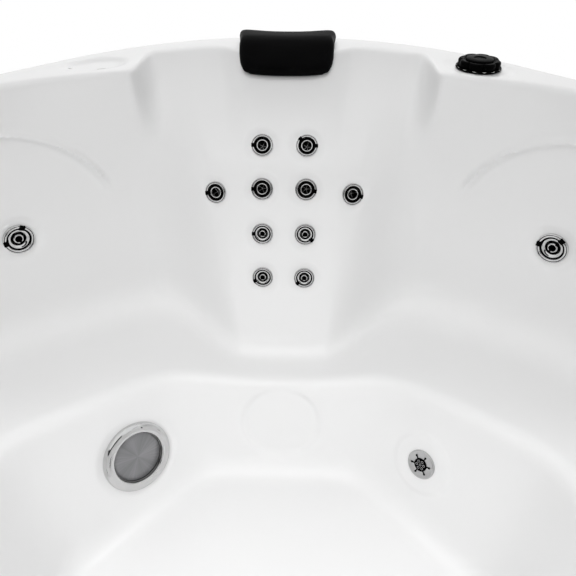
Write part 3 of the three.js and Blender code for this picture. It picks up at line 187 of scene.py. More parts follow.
def outline(angle):
    from_side = math.radians(45 - fold(angle))
    if HALF * math.tan(from_side) <= HALF - CORNER_RADIUS:
        return HALF / math.cos(from_side)
    return circle_reach((HALF - CORNER_RADIUS) * math.sqrt(2), CORNER_RADIUS, math.radians(fold(angle)))


RIM_APEX = HALF - RIM_WIDTH_SIDE
RIM_CHORD = outline(SEATS_ANGLE) - RIM_WIDTH_CORNER
BACK_APEX = RIM_APEX - BACK_IN_SIDE
BACK_CHORD = RIM_CHORD - BACK_IN_CORNER
LEVELS = {
    "rim": (RIM_APEX, RIM_LOBE_RADIUS, RIM_CHORD),
    "back": (BACK_APEX, BACK_LOBE_RADIUS, BACK_CHORD),
    "foot": (BACK_APEX - FOOT_IN_SIDE, FOOT_LOBE_RADIUS, BACK_CHORD - FOOT_IN_CORNER),
}


def level(name, angle):
    apex, radius, chord = LEVELS[name]
    folded = fold(angle)
    share = float(smooth(folded, *BLEND_ANGLES[name]))
    lobe = circle_reach(apex - radius, radius, math.radians(45 - folded))
    return chord / math.cos(math.radians(folded)) * (1 - share) + lobe * share


def footwell(angle, corner, side):
    total = 0.0
    for k in range(8):
        facing = math.cos(math.radians(angle - 45 * k))
        if facing > 0:
            total += (facing / (corner if k % 2 else side)) ** FOOTWELL_POWER
    return total ** (-1 / FOOTWELL_POWER)


def seat_height(angle):
    return TUB_HEIGHT - SEAT_DROP - SEAT_SWING * math.cos(math.radians(2 * (angle - SEATS_ANGLE)))


def rim_edge(angle):
    """The rim's inner edge, with a shallow bay on each side of a pillow and a slight flare at the sides."""
    folded = fold(angle)
    bay = RIM_BAY * float(smooth(folded, 5.5, 9) * (1 - smooth(folded, 10, 18)))
    return level("rim", angle) + bay + RIM_FLARE * float(smooth(folded, 24, 40))


def corners(angle):
    floor = TUB_HEIGHT - TUB_DEPTH
    seat = seat_height(angle)
    edge = outline(angle)
    return np.array([
        (0, floor),
        (footwell(angle, FLOOR_REACH, FLOOR_REACH), floor),
        (footwell(angle, FOOTWELL_CORNER, FOOTWELL_SIDE), seat),
        (level("foot", angle), seat - SEAT_DISH),
        (level("back", angle), TUB_HEIGHT - BACK_DROP),
        (rim_edge(angle), TUB_HEIGHT),
        (edge, TUB_HEIGHT),
        (edge, TUB_HEIGHT - RIM_LIP),
    ])


def straight(start, end, rows):
    """Points after start, up to and with end."""
    return [start + (end - start) * (i + 1) / rows for i in range(rows)]


def top_profile(angle):
    points = corners(angle)
    rows = [points[0]]
    for i in range(1, len(points) - 1):
        before, after = points[i - 1] - points[i], points[i + 1] - points[i]
        longest = LONGEST_ROUND_SHARE * min(np.linalg.norm(before), np.linalg.norm(after))
        reach = min(ROUNDS[i], longest)
        start = points[i] + before / np.linalg.norm(before) * reach
        end = points[i] + after / np.linalg.norm(after) * reach
        rows += straight(rows[-1], start, STRAIGHT_ROWS[i - 1])
        for k in range(1, ROUND_ROWS[i] + 1):
            t = k / ROUND_ROWS[i]
            rows.append(start * (1 - t) ** 2 + points[i] * 2 * t * (1 - t) + end * t ** 2)
    return rows + straight(rows[-1], points[-1], STRAIGHT_ROWS[-1])


def under_profile(angle):
    points = corners(angle)
    along = np.diff(points, axis=0)
    along /= np.linalg.norm(along, axis=1)[:, None]
    normals = np.stack([along[:, 1], -along[:, 0]], axis=1)
    middle = np.vstack([normals[:1], normals]) + np.vstack([normals, normals[-1:]])
    wall = np.full(len(points), SHELL_WALL)
    wall[4] += BACK_ROUND_DEPTH
    away = points + middle * (2 * wall / (middle ** 2).sum(axis=1))[:, None]
    away[0, 0] = 0
    away[-1, 1] = points[-1, 1]
    rows = [away[-1]]
    for i in range(len(away) - 2, -1, -1):
        rows += straight(rows[-1], away[i], UNDER_ROWS[i])
    return rows


def surface_point(azimuth, side, height):
    """The point of the inner wall at a height, and a level distance to the left of azimuth."""
    angle = azimuth
    for _ in range(6):
        profile = np.array(top_profile(angle))
        inner = profile[:np.argmax(profile[:, 1]) + 1]
        reach = float(np.interp(height, inner[1:, 1], inner[1:, 0]))
        turn = math.radians(angle)
        point = Vector((reach * math.cos(turn), reach * math.sin(turn), height))
        angle = azimuth + math.degrees(math.asin(side / reach))
    return point


def wall_frame(azimuth, side, drop, spread):
    """A frame on the wall: its Z points out of the surface and its X runs level."""
    height = TUB_HEIGHT - drop
    across = surface_point(azimuth, side + spread, height) - surface_point(azimuth, side - spread, height)
    up = surface_point(azimuth, side, height + spread) - surface_point(azimuth, side, height - spread)
    at = surface_point(azimuth, side, height)
    out = across.cross(up).normalized()
    if out.dot(at) > 0:
        out.negate()
    return frame_of(at, out)


def shift(x, y=0.0, z=0.0):
    return Matrix.Translation((x, y, z))


def spin(degrees):
    return Matrix.Rotation(math.radians(degrees), 4, "Z")


def frame_of(at, out):
    flat = Vector((0, 0, 1)).cross(out).normalized()
    return Matrix.Translation(at) @ Matrix((flat, out.cross(flat), out)).transposed().to_4x4()


def rim_frame(angle):
    turn = math.radians(angle)
    at = Vector((RIM_FITTING_REACH * math.cos(turn), RIM_FITTING_REACH * math.sin(turn), TUB_HEIGHT))
    return Matrix.Translation(at) @ Matrix.Rotation(turn + math.pi / 2, 4, "Z")


def joint_frame(body):
    """The frame of a part that turns: its joint gives the place and the axis."""
    for joint in frame["joints"]:
        if joint["child"] == body:
            return frame_of(Vector(joint["pos_m"]), Vector(joint["axis"]))


jet_numbers = [f"{i + 1:02d}" for i in range(SMALL_JETS)]
jet_frames = {n: joint_frame("jet_ring_" + n) for n in jet_numbers}
side_jet_frames = {side: joint_frame("side_jet_ring_" + side) for side in ("left", "right")}
light_frame = wall_frame(90, -FOOTWELL_FITTING_OFFSET, FOOTWELL_FITTING_DROP, LIGHT_RADIUS)
drain_frame = wall_frame(0, FOOTWELL_FITTING_OFFSET, FOOTWELL_FITTING_DROP, DRAIN_RADIUS)
suction_frames = [wall_frame(side, 0, SUCTION_DROP, SUCTION_RADIUS) for side in (180, 270)]
recess_frame = wall_frame(SEATS_ANGLE, 0, ROUND_RECESS_DROP, DRAIN_RADIUS)
filter_frame = wall_frame(135, 0, FILTER_DROP, FILTER_MOUTH[0] / 4)
diverter_frame = rim_frame(SEATS_ANGLE - RIM_FITTING_ANGLE)
tray_frame = rim_frame(SEATS_ANGLE + RIM_FITTING_ANGLE)
air_frame = rim_frame(SEATS_ANGLE - 90 + RIM_FITTING_ANGLE)
panel_frame = rim_frame(SEATS_ANGLE + 180 + RIM_FITTING_ANGLE)


# Materials

class Value:
    """A shader socket that takes part in sums."""

    def __init__(self, finish, socket):
        self.finish, self.socket = finish, socket

    def sum(self, operation, *values):
        return self.finish.node("ShaderNodeMath", values, operation=operation)

    def __add__(self, other):
        return self.sum("ADD", self, other)

    def __mul__(self, other):
        return self.sum("MULTIPLY", self, other)

    __radd__ = __add__
    __rmul__ = __mul__


class Finish:
    """A procedural material for one slot of the record."""

    def __init__(self, name):
        self.material = bpy.data.materials.new(name)
        self.material.use_nodes = True
        self.nodes = self.material.node_tree.nodes
        self.links = self.material.node_tree.links
        self.shader = self.nodes["Principled BSDF"]

    def node(self, kind, inputs=(), output=0, **settings):
        made = self.nodes.new(kind)
        for key, value in settings.items():
            setattr(made, key, value)
        pairs = inputs.items() if isinstance(inputs, dict) else enumerate(inputs)
        for key, value in pairs:
            self.feed(made.inputs[key], value)
        return Value(self, made.outputs[output])

    def feed(self, socket, value):
        if isinstance(value, Value):
            self.links.new(value.socket, socket)
        elif hasattr(value, "__len__") and len(value) == 3 and len(getattr(socket, "default_value", ())) == 4:
            socket.default_value = (*value, 1)
        else:
            socket.default_value = value

    def place(self):
        return self.node("ShaderNodeTexCoord", output="Object")

    def noise(self, scale, detail=2.0, stretch=(1, 1, 1)):
        spot = self.node("ShaderNodeMapping", {"Vector": self.place(), "Scale": stretch})
        return self.node("ShaderNodeTexNoise", {"Vector": spot, "Scale": scale, "Detail": detail})

    def blend(self, factor, first, second):
        return self.node("ShaderNodeMix", {0: factor, 6: first, 7: second}, 2, data_type="RGBA")

    def bump(self, height, strength, distance):
        values = {"Height": height, "Strength": strength, "Distance": distance}
        return self.node("ShaderNodeBump", values, "Normal")

    def surface(self, **inputs):
        for key, value in inputs.items():
            self.feed(self.shader.inputs[key.replace("_", " ")], value)
        return self.material


def white_acrylic():
    finish = Finish("white_acrylic")
    cloud = finish.noise(2.2)
    fine = finish.noise(55, 3)
    return finish.surface(
        Base_Color=finish.blend(cloud, (0.80, 0.80, 0.80), (0.84, 0.84, 0.84)),
        Roughness=0.3 + 0.08 * cloud,
        Coat_Weight=0.35,
        Coat_Roughness=0.16,
        Normal=finish.bump(fine, 0.05, 0.0006),
    )


def chrome(name="chrome", shade=0.6, roughness=0.05):
    finish = Finish(name)
    smear = finish.noise(90)
    tone = finish.blend(smear, (shade,) * 3, (shade * 1.08,) * 3)
    return finish.surface(Base_Color=tone, Metallic=1.0, Roughness=roughness + 0.05 * smear)


def black_foam():
    finish = Finish("black_foam")
    skin = finish.noise(900, 3)
    wear = finish.noise(14)
    return finish.surface(
        Base_Color=finish.blend(wear, (0.0012, 0.0012, 0.0013), (0.003, 0.003, 0.0032)),
        Roughness=0.42 + 0.1 * wear,
        Specular_IOR_Level=0.02,
        Normal=finish.bump(skin, 0.25, 0.0004),
    )


def plastic(name, dark, light, roughness, gloss=0.5):
    finish = Finish(name)
    mottle = finish.noise(24)
    return finish.surface(
        Base_Color=finish.blend(mottle, dark, light),
        Roughness=roughness + 0.08 * mottle,
        Specular_IOR_Level=gloss,
        Normal=finish.bump(finish.noise(420), 0.2, 0.0002),
    )


def cladding():
    finish = Finish("grey_cladding")
    grain = finish.noise(30, 5, (3, 3, 0.12))
    tone = finish.noise(5, 1, (1, 1, 0.1))
    mix = grain * 0.7 + tone * 0.3
    return finish.surface(
        Base_Color=finish.blend(mix, (0.075, 0.068, 0.062), (0.20, 0.185, 0.17)),
        Roughness=0.55 + 0.2 * grain,
        Normal=finish.bump(grain, 0.35, 0.0012),
    )


def timber():
    finish = Finish("timber")
    rings = finish.noise(14, 4, (1, 1, 6))
    return finish.surface(
        Base_Color=finish.blend(rings, (0.42, 0.26, 0.12), (0.62, 0.42, 0.22)),
        Roughness=0.6 + 0.15 * rings,
        Normal=finish.bump(rings, 0.3, 0.001),
    )


def lens_glass():
    """Smoked lens with fine radial lines and broad wedges of painted highlight, turned about the light's own axis."""
    finish = Finish("lens")
    at = light_frame.to_translation()
    turn = light_frame.to_3x3().transposed().to_euler()
    moved = finish.node("ShaderNodeVectorMath", [finish.place(), tuple(at)], operation="SUBTRACT")
    facing = finish.node("ShaderNodeMapping", {"Vector": moved, "Rotation": tuple(turn)})
    level = finish.node("ShaderNodeVectorMath", [facing, (1, 1, 0)], operation="MULTIPLY")
    way = finish.node("ShaderNodeVectorMath", [level], operation="NORMALIZE")
    ray = finish.node("ShaderNodeTexNoise", {"Vector": way, "Scale": 11.0, "Detail": 3.0})
    # Painted highlight: broad brighter and darker wedges round the axis stand in for the soft glints of the lens's
    # radial brushing; the fine radial lines above are the lens's own pattern
    painted_highlight_wedge = finish.node("ShaderNodeTexNoise", {"Vector": way, "Scale": 1.5, "Detail": 0.0})
    mix = ray * 0.45 + painted_highlight_wedge * 0.55
    return finish.surface(
        Base_Color=finish.blend(mix, (0.09, 0.09, 0.095), (0.36, 0.36, 0.37)),
        Roughness=0.25 + 0.15 * ray,
        Metallic=0.35,
        Coat_Weight=0.4,
    )


def filter_fabric():
    finish = Finish("filter_fabric")
    weave = finish.noise(600)
    return finish.surface(
        Base_Color=finish.blend(weave, (0.66, 0.71, 0.75), (0.80, 0.84, 0.86)),
        Roughness=0.85,
        Normal=finish.bump(weave, 0.3, 0.0004),
    )


MATERIALS = {
    "white_acrylic": white_acrylic(),
    "chrome": chrome(),
    "dark_chrome": chrome("dark_chrome", 0.2, 0.12),
    "black_foam": black_foam(),
    "lens": lens_glass(),
    "filter_fabric": filter_fabric(),
    "grey_cladding": cladding(),
    "timber": timber(),
    "base_plastic": plastic("base_plastic", (0.015, 0.015, 0.016), (0.03, 0.03, 0.031), 0.5),
    "steel": chrome("steel", 0.52, 0.28),
    "black_plastic": plastic("black_plastic", (0.001, 0.001, 0.001), (0.002, 0.002, 0.002), 0.22, 0.012),
    "white_plastic": plastic("white_plastic", (0.70, 0.70, 0.67), (0.78, 0.78, 0.75), 0.35),
}


# Making pieces

def made_object(name, bm, material):
    mesh = bpy.data.meshes.new(name)
    bm.to_mesh(mesh)
    bm.free()
    mesh.materials.append(material)
    obj = bpy.data.objects.new(name, mesh)
    bpy.context.scene.collection.objects.link(obj)
    return obj


def applied(obj):
    """The mesh that an object's modifiers make; the modifiers go."""
    made = bpy.data.meshes.new_from_object(obj.evaluated_get(bpy.context.evaluated_depsgraph_get()))
    obj.modifiers.clear()
    return made


def piece(name, bm, material, body, replaced=(), slot=None, smooth_angle=35):
    """Turns a bmesh in the tub's frame into a named piece that rides on a body."""
    slot = slot or material
    obj = made_object(name, bm, MATERIALS[material])
    obj.data.shade_smooth()
    if smooth_angle:
        obj.data.set_sharp_from_angle(angle=math.radians(smooth_angle))
    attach(obj, body)
    if replaced:
        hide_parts(*replaced)
    return obj


def spun(profile, steps):
    """Radius and height pairs, joined and swept once round the Z axis."""
    bm = bmesh.new()
    verts = [bm.verts.new((r, 0, z)) for r, z in profile]
    edges = [bm.edges.new(pair) for pair in zip(verts, verts[1:])]
    bmesh.ops.spin(bm, geom=verts + edges, cent=(0, 0, 0), axis=(0, 0, 1), dvec=(0, 0, 0),
                   angle=2 * math.pi, steps=steps, use_merge=True, use_duplicate=False)
    return bm


def cleaned(bm):
    bmesh.ops.remove_doubles(bm, verts=bm.verts, dist=1e-6)
    bmesh.ops.recalc_face_normals(bm, faces=bm.faces)
    return bm


def turned(profile, at, steps=64):
    """A turned form about the local Z axis of a frame."""
    bm = cleaned(spun(profile, steps))
    bm.transform(at)
    return bm


def arc(centre, radius, start, end, steps=6):
    """Radius and height pairs round an arc of a profile, in degrees."""
    turns = [math.radians(start + (end - start) * i / steps) for i in range(steps + 1)]
    return [(centre[0] + radius * math.cos(t), centre[1] + radius * math.sin(t)) for t in turns]


def scaled(pairs, radius, base, height=None):
    """A profile from shares of a radius and of a height, which is the radius too where none is given."""
    return [(r * radius, base + z * (height or radius)) for r, z in pairs]


def joined(parts):
    """Several bmeshes as one."""
    whole = bmesh.new()
    for part in parts:
        mesh = bpy.data.meshes.new("part")
        part.to_mesh(mesh)
        part.free()
        whole.from_mesh(mesh)
        bpy.data.meshes.remove(mesh)
    return whole


def extruded(bm, faces):
    """Extrudes the faces, and gives the new vertices and the new faces."""
    made = bmesh.ops.extrude_face_region(bm, geom=faces)["geom"]
    return [[part for part in made if isinstance(part, kind)] for kind in (bmesh.types.BMVert, bmesh.types.BMFace)]


def bevelled(bm, edges, width, segments):
    bmesh.ops.bevel(bm, geom=edges, offset=width, offset_type="OFFSET", segments=segments, profile=0.5,
                    affect="EDGES", material=-1)


def block(size, at, bevel=0.0):
    bm = bmesh.new()
    bmesh.ops.create_cube(bm, size=1)
    bmesh.ops.scale(bm, vec=size, verts=bm.verts)
    if bevel:
        bevelled(bm, bm.edges[:], bevel, 2)
    bm.transform(at)
    return bm


def slot_plate(length, width, low, high, bevel, at):
    """A bar with round ends, bevelled along its top edge."""
    bm = bmesh.new()
    bmesh.ops.create_circle(bm, cap_ends=True, radius=width / 2, segments=48)
    for vert in bm.verts:
        vert.co.x += math.copysign((length - width) / 2, vert.co.x) if abs(vert.co.x) > GAP else 0
        vert.co.z = low
    bmesh.ops.translate(bm, verts=extruded(bm, bm.faces[:])[0], vec=(0, 0, high - low))
    if bevel:
        rim = [e for e in bm.edges if all(v.co.z > (low + high) / 2 for v in e.verts) and len(e.link_faces) == 2
               and any(abs(f.normal.z) < 0.5 for f in e.link_faces)]
        bevelled(bm, rim, bevel, 3)
    bmesh.ops.recalc_face_normals(bm, faces=bm.faces)
    bm.transform(at)
    return bm


# The shell

def column_angles():
    angles = []
    for start, end, step in COLUMN_STEPS:
        count = round((end - start) / step)
        angles += [start + (end - start) * i / count for i in range(count)]
    return angles


def pressed(points, at, depth, inner, outer, flat=False, aspect=1.0):
    """Moves the surface along a fitting's axis inside a soft-edged round or oval outline."""
    rotation = np.array(at.to_3x3())
    local = (points - np.array(at.to_translation())) @ rotation
    away = np.hypot(local[..., 0] / aspect, local[..., 1])
    share = 1 - smooth(away, inner, outer)
    share[np.abs(local[..., 2]) > REACH_OF_PRESS] = 0
    change = share * (depth - local[..., 2]) if flat else share * depth
    return points + change[..., None] * rotation[:, 2]


def arched(points, azimuth, side):
    """The raised arch over a side seat's jet: a soft bead that fades out at both ends."""
    turn = math.radians(azimuth)
    radial = np.array((math.cos(turn), math.sin(turn), 0))
    across = np.array((-math.sin(turn), math.cos(turn), 0))
    lateral = points @ across - side
    height = points[..., 2] - (TUB_HEIGHT - SIDE_JET_DROP)
    away = np.hypot(lateral, height) - ARCH_RADIUS
    bearing = np.degrees(np.arctan2(lateral * math.copysign(1, side), height))
    rise = smooth(away, -ARCH_EDGE, 0) * (1 - smooth(away, 0, ARCH_FADE))
    ends = smooth(bearing, *ARCH_START) * (1 - smooth(bearing, *ARCH_END))
    rise = rise * ends * (points @ radial > FOOTWELL_SIDE)
    return points - (rise * ARCH_HEIGHT)[..., None] * radial


def moulded(points):
    """Every pressed and raised detail of the inner surface."""
    seats = [(place, SMALL_JET_RADIUS) for place in jet_frames.values()]
    seats += [(place, SIDE_JET_RADIUS) for place in side_jet_frames.values()]
    for place, radius in seats:
        points = pressed(points, place, -JET_SEAT_DEPTH, radius + JET_SEAT_DEPTH / 2, DIMPLE_SHARE * radius, flat=True)
    points = arched(points, 90, -SIDE_JET_OFFSET)
    points = arched(points, 0, SIDE_JET_OFFSET)
    points = pressed(points, recess_frame, -ROUND_RECESS_DEPTH, ROUND_RECESS_RADIUS * 0.86, ROUND_RECESS_RADIUS * 1.04)
    points = pressed(points, drain_frame, DRAIN_PAD_HEIGHT, DRAIN_PAD_RADIUS * 0.9, DRAIN_PAD_RADIUS * 1.08, flat=True)
    points = pressed(points, light_frame, -SPOT_FACE, LIGHT_RADIUS + SPOT_FACE, LIGHT_RADIUS * 1.25, flat=True)
    for place in suction_frames:
        points = pressed(points, place, -SPOT_FACE, SUCTION_RADIUS + SPOT_FACE, SUCTION_RADIUS * 1.3, flat=True)
    points = pressed(points, tray_frame, -TRAY_DEPTH, TRAY_WIDTH * 0.36, TRAY_WIDTH * 0.5,
                     aspect=TRAY_LENGTH / TRAY_WIDTH)
    return pressed(points, diverter_frame, -SPOT_FACE, VALVE_RECESS * 0.85, VALVE_RECESS, aspect=1.5)


def shell_body():
    angles = column_angles()
    table = []
    for angle in angles:
        top = np.array(top_profile(angle))
        under = np.array(under_profile(angle))
        turn = math.radians(angle)
        both = np.vstack([top, under])
        table.append(np.stack([both[:, 0] * math.cos(turn), both[:, 0] * math.sin(turn), both[:, 1]], axis=1))
    table = np.array(table)
    inner = len(top_profile(angles[0]))
    table[:, :inner] = moulded(table[:, :inner])
    rows = table.shape[1]
    bm = spun([(1.0 + row, 0) for row in range(rows)], len(angles))
    for vert in bm.verts:
        row = round(math.hypot(vert.co.x, vert.co.y) - 1)
        column = round(math.atan2(vert.co.y, vert.co.x) / (2 * math.pi) * len(angles)) % len(angles)
        vert.co = table[column, row]
    return cleaned(bm)


HOLE_DEPTH = 0.09
# How far a bezel laps over its hole
JET_LAP = 0.0027
SHARP_SHELL_ANGLE = 50


def cylinder(radius, at):
    return turned([(0, -HOLE_DEPTH), (radius, -HOLE_DEPTH), (radius, HOLE_DEPTH / 2), (0, HOLE_DEPTH / 2)], at, 48)


def filter_cutter():
    """The filter's mouth with the wider step that its plate lies in."""
    width, height = FILTER_MOUTH
    bm = block((width, height, 0.06), shift(0, 0, -0.03 - SPOT_FACE))
    top = [f for f in bm.faces if f.normal.z > 0.5]
    for factor, rise in ((1, 0), (0, 0.03)):
        verts, faces = extruded(bm, top)
        grow = (1 + factor * 2 * (FILTER_BORDER + GAP) / width, 1 + factor * 2 * (FILTER_BORDER + GAP) / height, 1)
        bmesh.ops.scale(bm, vec=grow, verts=verts)
        bmesh.ops.translate(bm, vec=(0, 0, rise), verts=verts)
        bmesh.ops.delete(bm, geom=top, context="FACES_ONLY")
        top = faces
    bm.transform(filter_frame)
    return bm


def shell():
    cutters = [cylinder(SMALL_JET_RADIUS - JET_LAP, place) for place in jet_frames.values()]
    cutters += [cylinder(SIDE_JET_RADIUS - JET_LAP, place) for place in side_jet_frames.values()]
    cutters.append(cylinder(LIGHT_LENS_RADIUS, light_frame))
    cutters.append(cylinder(DRAIN_STEM_RADIUS + GAP, drain_frame))
    cutters += [cylinder(SUCTION_STEM_RADIUS + GAP, place) for place in suction_frames]
    cutters.append(filter_cutter())
    cutters.append(cylinder(VALVE_STEM_RADIUS + GAP, diverter_frame))
    cutters.append(cylinder(AIR_STEM_RADIUS + GAP, air_frame))
    cutters.append(block((PANEL_LENGTH / 2, PANEL_WIDTH / 2, HOLE_DEPTH), panel_frame))
    holes = piece("shell_holes", joined(cutters), "white_acrylic", "tub")
    body = piece("moulded_shell", shell_body(), "white_acrylic", "tub", ["shell"], smooth_angle=0)
    cut = body.modifiers.new("holes", "BOOLEAN")
    cut.operation = "DIFFERENCE"
    cut.solver = "MANIFOLD"
    cut.object = holes
    bpy.context.view_layer.update()
    body.data = applied(body)
    body.data.shade_smooth()
    body.data.set_sharp_from_angle(angle=math.radians(SHARP_SHELL_ANGLE))
    bpy.data.objects.remove(holes)


# Jets

# Shares of a jet's radius, as are the bare numbers in the profiles below
INSERT_REACH = 0.76
RING_HOLE = 0.42
RING_REACH = 0.52
CONE_REACH = 0.66
BALL_REACH = 0.43
BEZEL_DEPTH = 0.5
CUP_DEPTH = 1.3
STAR_BLADES = 5


def bezel_profile(radius, seat):
    """The chrome bezel: a thin outer lip, a groove and a rounded band inside it."""
    lip, band = 0.04 * radius, 0.065 * radius
    points = scaled([(INSERT_REACH, 0), (1, 0)], radius, seat)
    points += arc((radius - lip, seat + 0.12 * radius), lip, 0, 165)
    points += scaled([(0.91, 0.02)], radius, seat)
    points += arc((0.895 * radius - band, seat + 0.10 * radius), band, -20, 170, 8)
    return points + scaled([(INSERT_REACH, 0.04), (INSERT_REACH, 0)], radius, seat)


def jet(name, radius, at, body, directional, tab_angles):
    """One jet: chrome bezel, black insert, chrome inner ring, and a cavity or an eyeball."""
    seat = -JET_SEAT_DEPTH + GAP
    step = CONE_REACH if directional else RING_REACH
    insert = [(step, -BEZEL_DEPTH), (INSERT_REACH, -BEZEL_DEPTH), (INSERT_REACH, 0.06), (step, -0.03)]
    parts = [turned(scaled(insert + insert[:1], radius, seat), at)]
    for turn in tab_angles:
        place = at @ spin(turn) @ shift(0.82 * radius, 0, seat + 0.13 * radius)
        parts.append(block((0.34 * radius, 0.34 * radius, 0.18 * radius), place, 0.03 * radius))
    piece(name + "_bezel", turned(bezel_profile(radius, seat), at), "chrome", body, [body])
    piece(name + "_insert", joined(parts), "black_plastic", body)
    if directional:
        directional_face(name, radius, at, body)
        return
    ring = scaled([(RING_HOLE, -BEZEL_DEPTH), (RING_REACH, -BEZEL_DEPTH), (RING_REACH, 0.03)], radius, seat)
    ring += arc((0.47 * radius, seat + 0.05 * radius), 0.05 * radius, 10, 170) + ring[:1]
    cup = scaled([(RING_HOLE, -0.45), (0.50, -CUP_DEPTH), (0, -CUP_DEPTH)], radius, seat)
    core = scaled([(0.07, -CUP_DEPTH), (0.07, -0.42), (0, -0.38)], radius, seat)
    blades = [turned(core, at, 16)]
    for k in range(STAR_BLADES):
        turn = at @ Matrix.Rotation(k * math.tau / STAR_BLADES, 4, "Z")
        blades.append(block((0.36 * radius, 0.05 * radius, 0.12 * radius),
                            turn @ shift(0.22 * radius, 0, seat - 0.6 * radius), 0.01 * radius))
    piece(name + "_inner_ring", turned(ring, at), "chrome", body)
    piece(name + "_cavity", turned(cup, at), "black_plastic", body)
    piece(name + "_star", joined(blades), "dark_chrome", body, slot="chrome")


def directional_face(name, radius, at, body):
    """A chrome cone that falls to a black eyeball, which tilts and has a thin ring round its nozzle."""
    seat = -JET_SEAT_DEPTH + GAP
    cone = scaled([(CONE_REACH, -BEZEL_DEPTH), (CONE_REACH, 0.05)], radius, seat)
    cone += arc((0.63 * radius, seat + 0.05 * radius), 0.03 * radius, 0, 110, 5)
    cone += scaled([(0.52, 0.03), (0.46, -0.03), (0.44, -0.10), (0.44, -BEZEL_DEPTH)], radius, seat) + cone[:1]
    nozzle = body.replace("ring", "nozzle")
    middle = (at.inverted() @ joint_frame(nozzle).to_translation()).z
    ball = BALL_REACH * radius - GAP
    face = arc((0, middle), ball, -65, 50, 12)
    face += scaled([(0.56, 0.74), (0.46, 0.74), (0.42, 0.6), (0.42, -0.2), (0, -0.2),
                    (0, -math.sin(math.radians(65)))], ball, middle) + face[:1]
    ring = scaled([(0.60, 0.70), (0.76, 0.60), (0.76, 0.72), (0.66, 0.86), (0.56, 0.82), (0.56, 0.70)], ball, middle)
    piece(name + "_cone", turned(cone, at), "chrome", body)
    piece(name + "_eyeball", turned(face, at), "black_plastic", nozzle, [nozzle])
    piece(name + "_eyeball_ring", turned(ring + ring[:1], at), "chrome", nozzle)


# Directions of the black tabs on each jet's bezel
TAB_ANGLES = [(180,), (135, 0), (180,), (350,), (180,), (320,), (205,), (220,), (190,), (340,)]


def jets():
    for i, (number, place) in enumerate(jet_frames.items()):
        body = "jet_ring_" + number
        jet("jet_" + number, SMALL_JET_RADIUS, place, body, i in DIRECTIONAL_JETS, TAB_ANGLES[i])
    for side, place in side_jet_frames.items():
        jet("side_jet_" + side, SIDE_JET_RADIUS, place, "side_jet_ring_" + side, True, (180, 60))


# Underwater light, drain and suction covers

def light():
    seat = GAP - SPOT_FACE
    outer, inner = LIGHT_RADIUS, LIGHT_LENS_RADIUS
    high = LIGHT_HEIGHT
    profile = [(inner, seat), (outer, seat), (outer, 0.002)]
    profile += arc((outer - 0.009, 0.002), 0.009, 0, 66, 8)
    profile += [(inner + 0.010, high), (inner + 0.004, high - 0.0008)]
    profile += arc((inner + 0.003, high - 0.0038), 0.003, 90, 180) + [(inner, seat)]
    ring = turned(profile, light_frame, 96)
    dot = turned([(0, high - 0.001), (0.0022, high - 0.001), (0.0022, high + 0.0002), (0, high + 0.0002)],
                 light_frame @ spin(62) @ shift(0.0695, 0, -0.0005), 16)
    glass = inner - GAP
    clear = glass - GASKET_WIDTH
    deep = seat - LENS_DEPTH
    lens = [(0, deep), (clear, deep), (clear, 0.0005), (clear - 0.0015, 0.0015), (0, 0.0035)]
    well = [(glass, deep), (glass, 0.005), (glass - 0.001, 0.0056), (glass - 0.0018, 0.005), (clear, 0), (clear, deep),
            (glass, deep)]
    piece("light_trim", ring, "chrome", "tub", ["light_ring"])
    piece("light_screw", dot, "black_plastic", "tub")
    piece("light_glass", turned(lens, light_frame, 96), "lens", "tub", ["light_lens"])
    piece("light_gasket", turned(well, light_frame, 96), "dark_chrome", "tub", slot="black_plastic")


def drain():
    face = DRAIN_PAD_HEIGHT + GAP
    radius = DRAIN_RADIUS
    top = face + DRAIN_HEIGHT
    plate = [(0, face), (radius, face), (radius, face + 0.002)]
    plate += arc((radius - 0.003, face + 0.002), 0.003, 0, 85)
    plate += [(0.90 * radius, top - 0.0003), (0.5 * radius, top - 0.0012), (0, top - 0.0012)]
    hub = [(0, top - 0.0012), (0.46 * radius, top - 0.0012), (0.46 * radius, top - 0.0002),
           (0.42 * radius, top + 0.0004), (0, top + 0.0004)]
    black = [turned(hub, drain_frame, 48)]
    rings = []
    for k in range(DRAIN_SPOKES):
        turn = drain_frame @ Matrix.Rotation((k + 0.35) * math.tau / DRAIN_SPOKES, 4, "Z")
        black.append(block((0.28 * radius, 0.08 * radius, 0.0014),
                           turn @ shift(0.52 * radius, 0, top - 0.0004), 0.0004))
        tip = [(0, top - 0.001), (0.075 * radius, top - 0.001), (0.075 * radius, top), (0.05 * radius, top + 0.0005),
               (0, top + 0.0005)]
        black.append(turned(tip, turn @ shift(0.66 * radius, 0, 0), 16))
        hole = [(0.05 * radius, top), (0.10 * radius, top), (0.075 * radius, top + 0.0009), (0.05 * radius, top)]
        rings.append(turned(hole, turn @ shift(0.26 * radius, 0, 0), 16))
    rings.append(turned(hole, drain_frame, 16))
    piece("drain_plate", turned(plate, drain_frame), "steel", "tub", ["drain_cover"], "chrome")
    piece("drain_hub", joined(black), "black_plastic", "tub")
    piece("drain_holes", joined(rings), "steel", "tub", slot="chrome")


def suction(number, at):
    seat = GAP - SPOT_FACE
    radius, high = SUCTION_RADIUS, SUCTION_HEIGHT
    dome = [(0.5 * radius, seat), (radius, seat), (radius, seat + 0.006)]
    dome += arc((radius - 0.010, high - 0.010), 0.010, 0, 60)
    dome += [(0.72 * radius, high), (0.62 * radius, high - 0.003), (0.5 * radius, high - 0.003), (0.5 * radius, seat)]
    bars = [turned(dome, at, 72)]
    for k in range(SUCTION_BARS):
        across = (k - SUCTION_BARS // 2) * 0.135 * radius
        length = 2 * math.sqrt(max((0.6 * radius) ** 2 - across ** 2, 0)) + 0.004
        bars.append(block((0.05 * radius, length, 0.006), at @ shift(across, 0, high - 0.005), 0.0008))
    bars.append(block((1.2 * radius, 0.07 * radius, 0.005), at @ shift(0, 0, high - 0.007), 0.0008))
    name = "suction_grille_" + number
    piece(name, joined(bars), "black_plastic", "tub", ["suction_cover_" + number])


# Filter plate

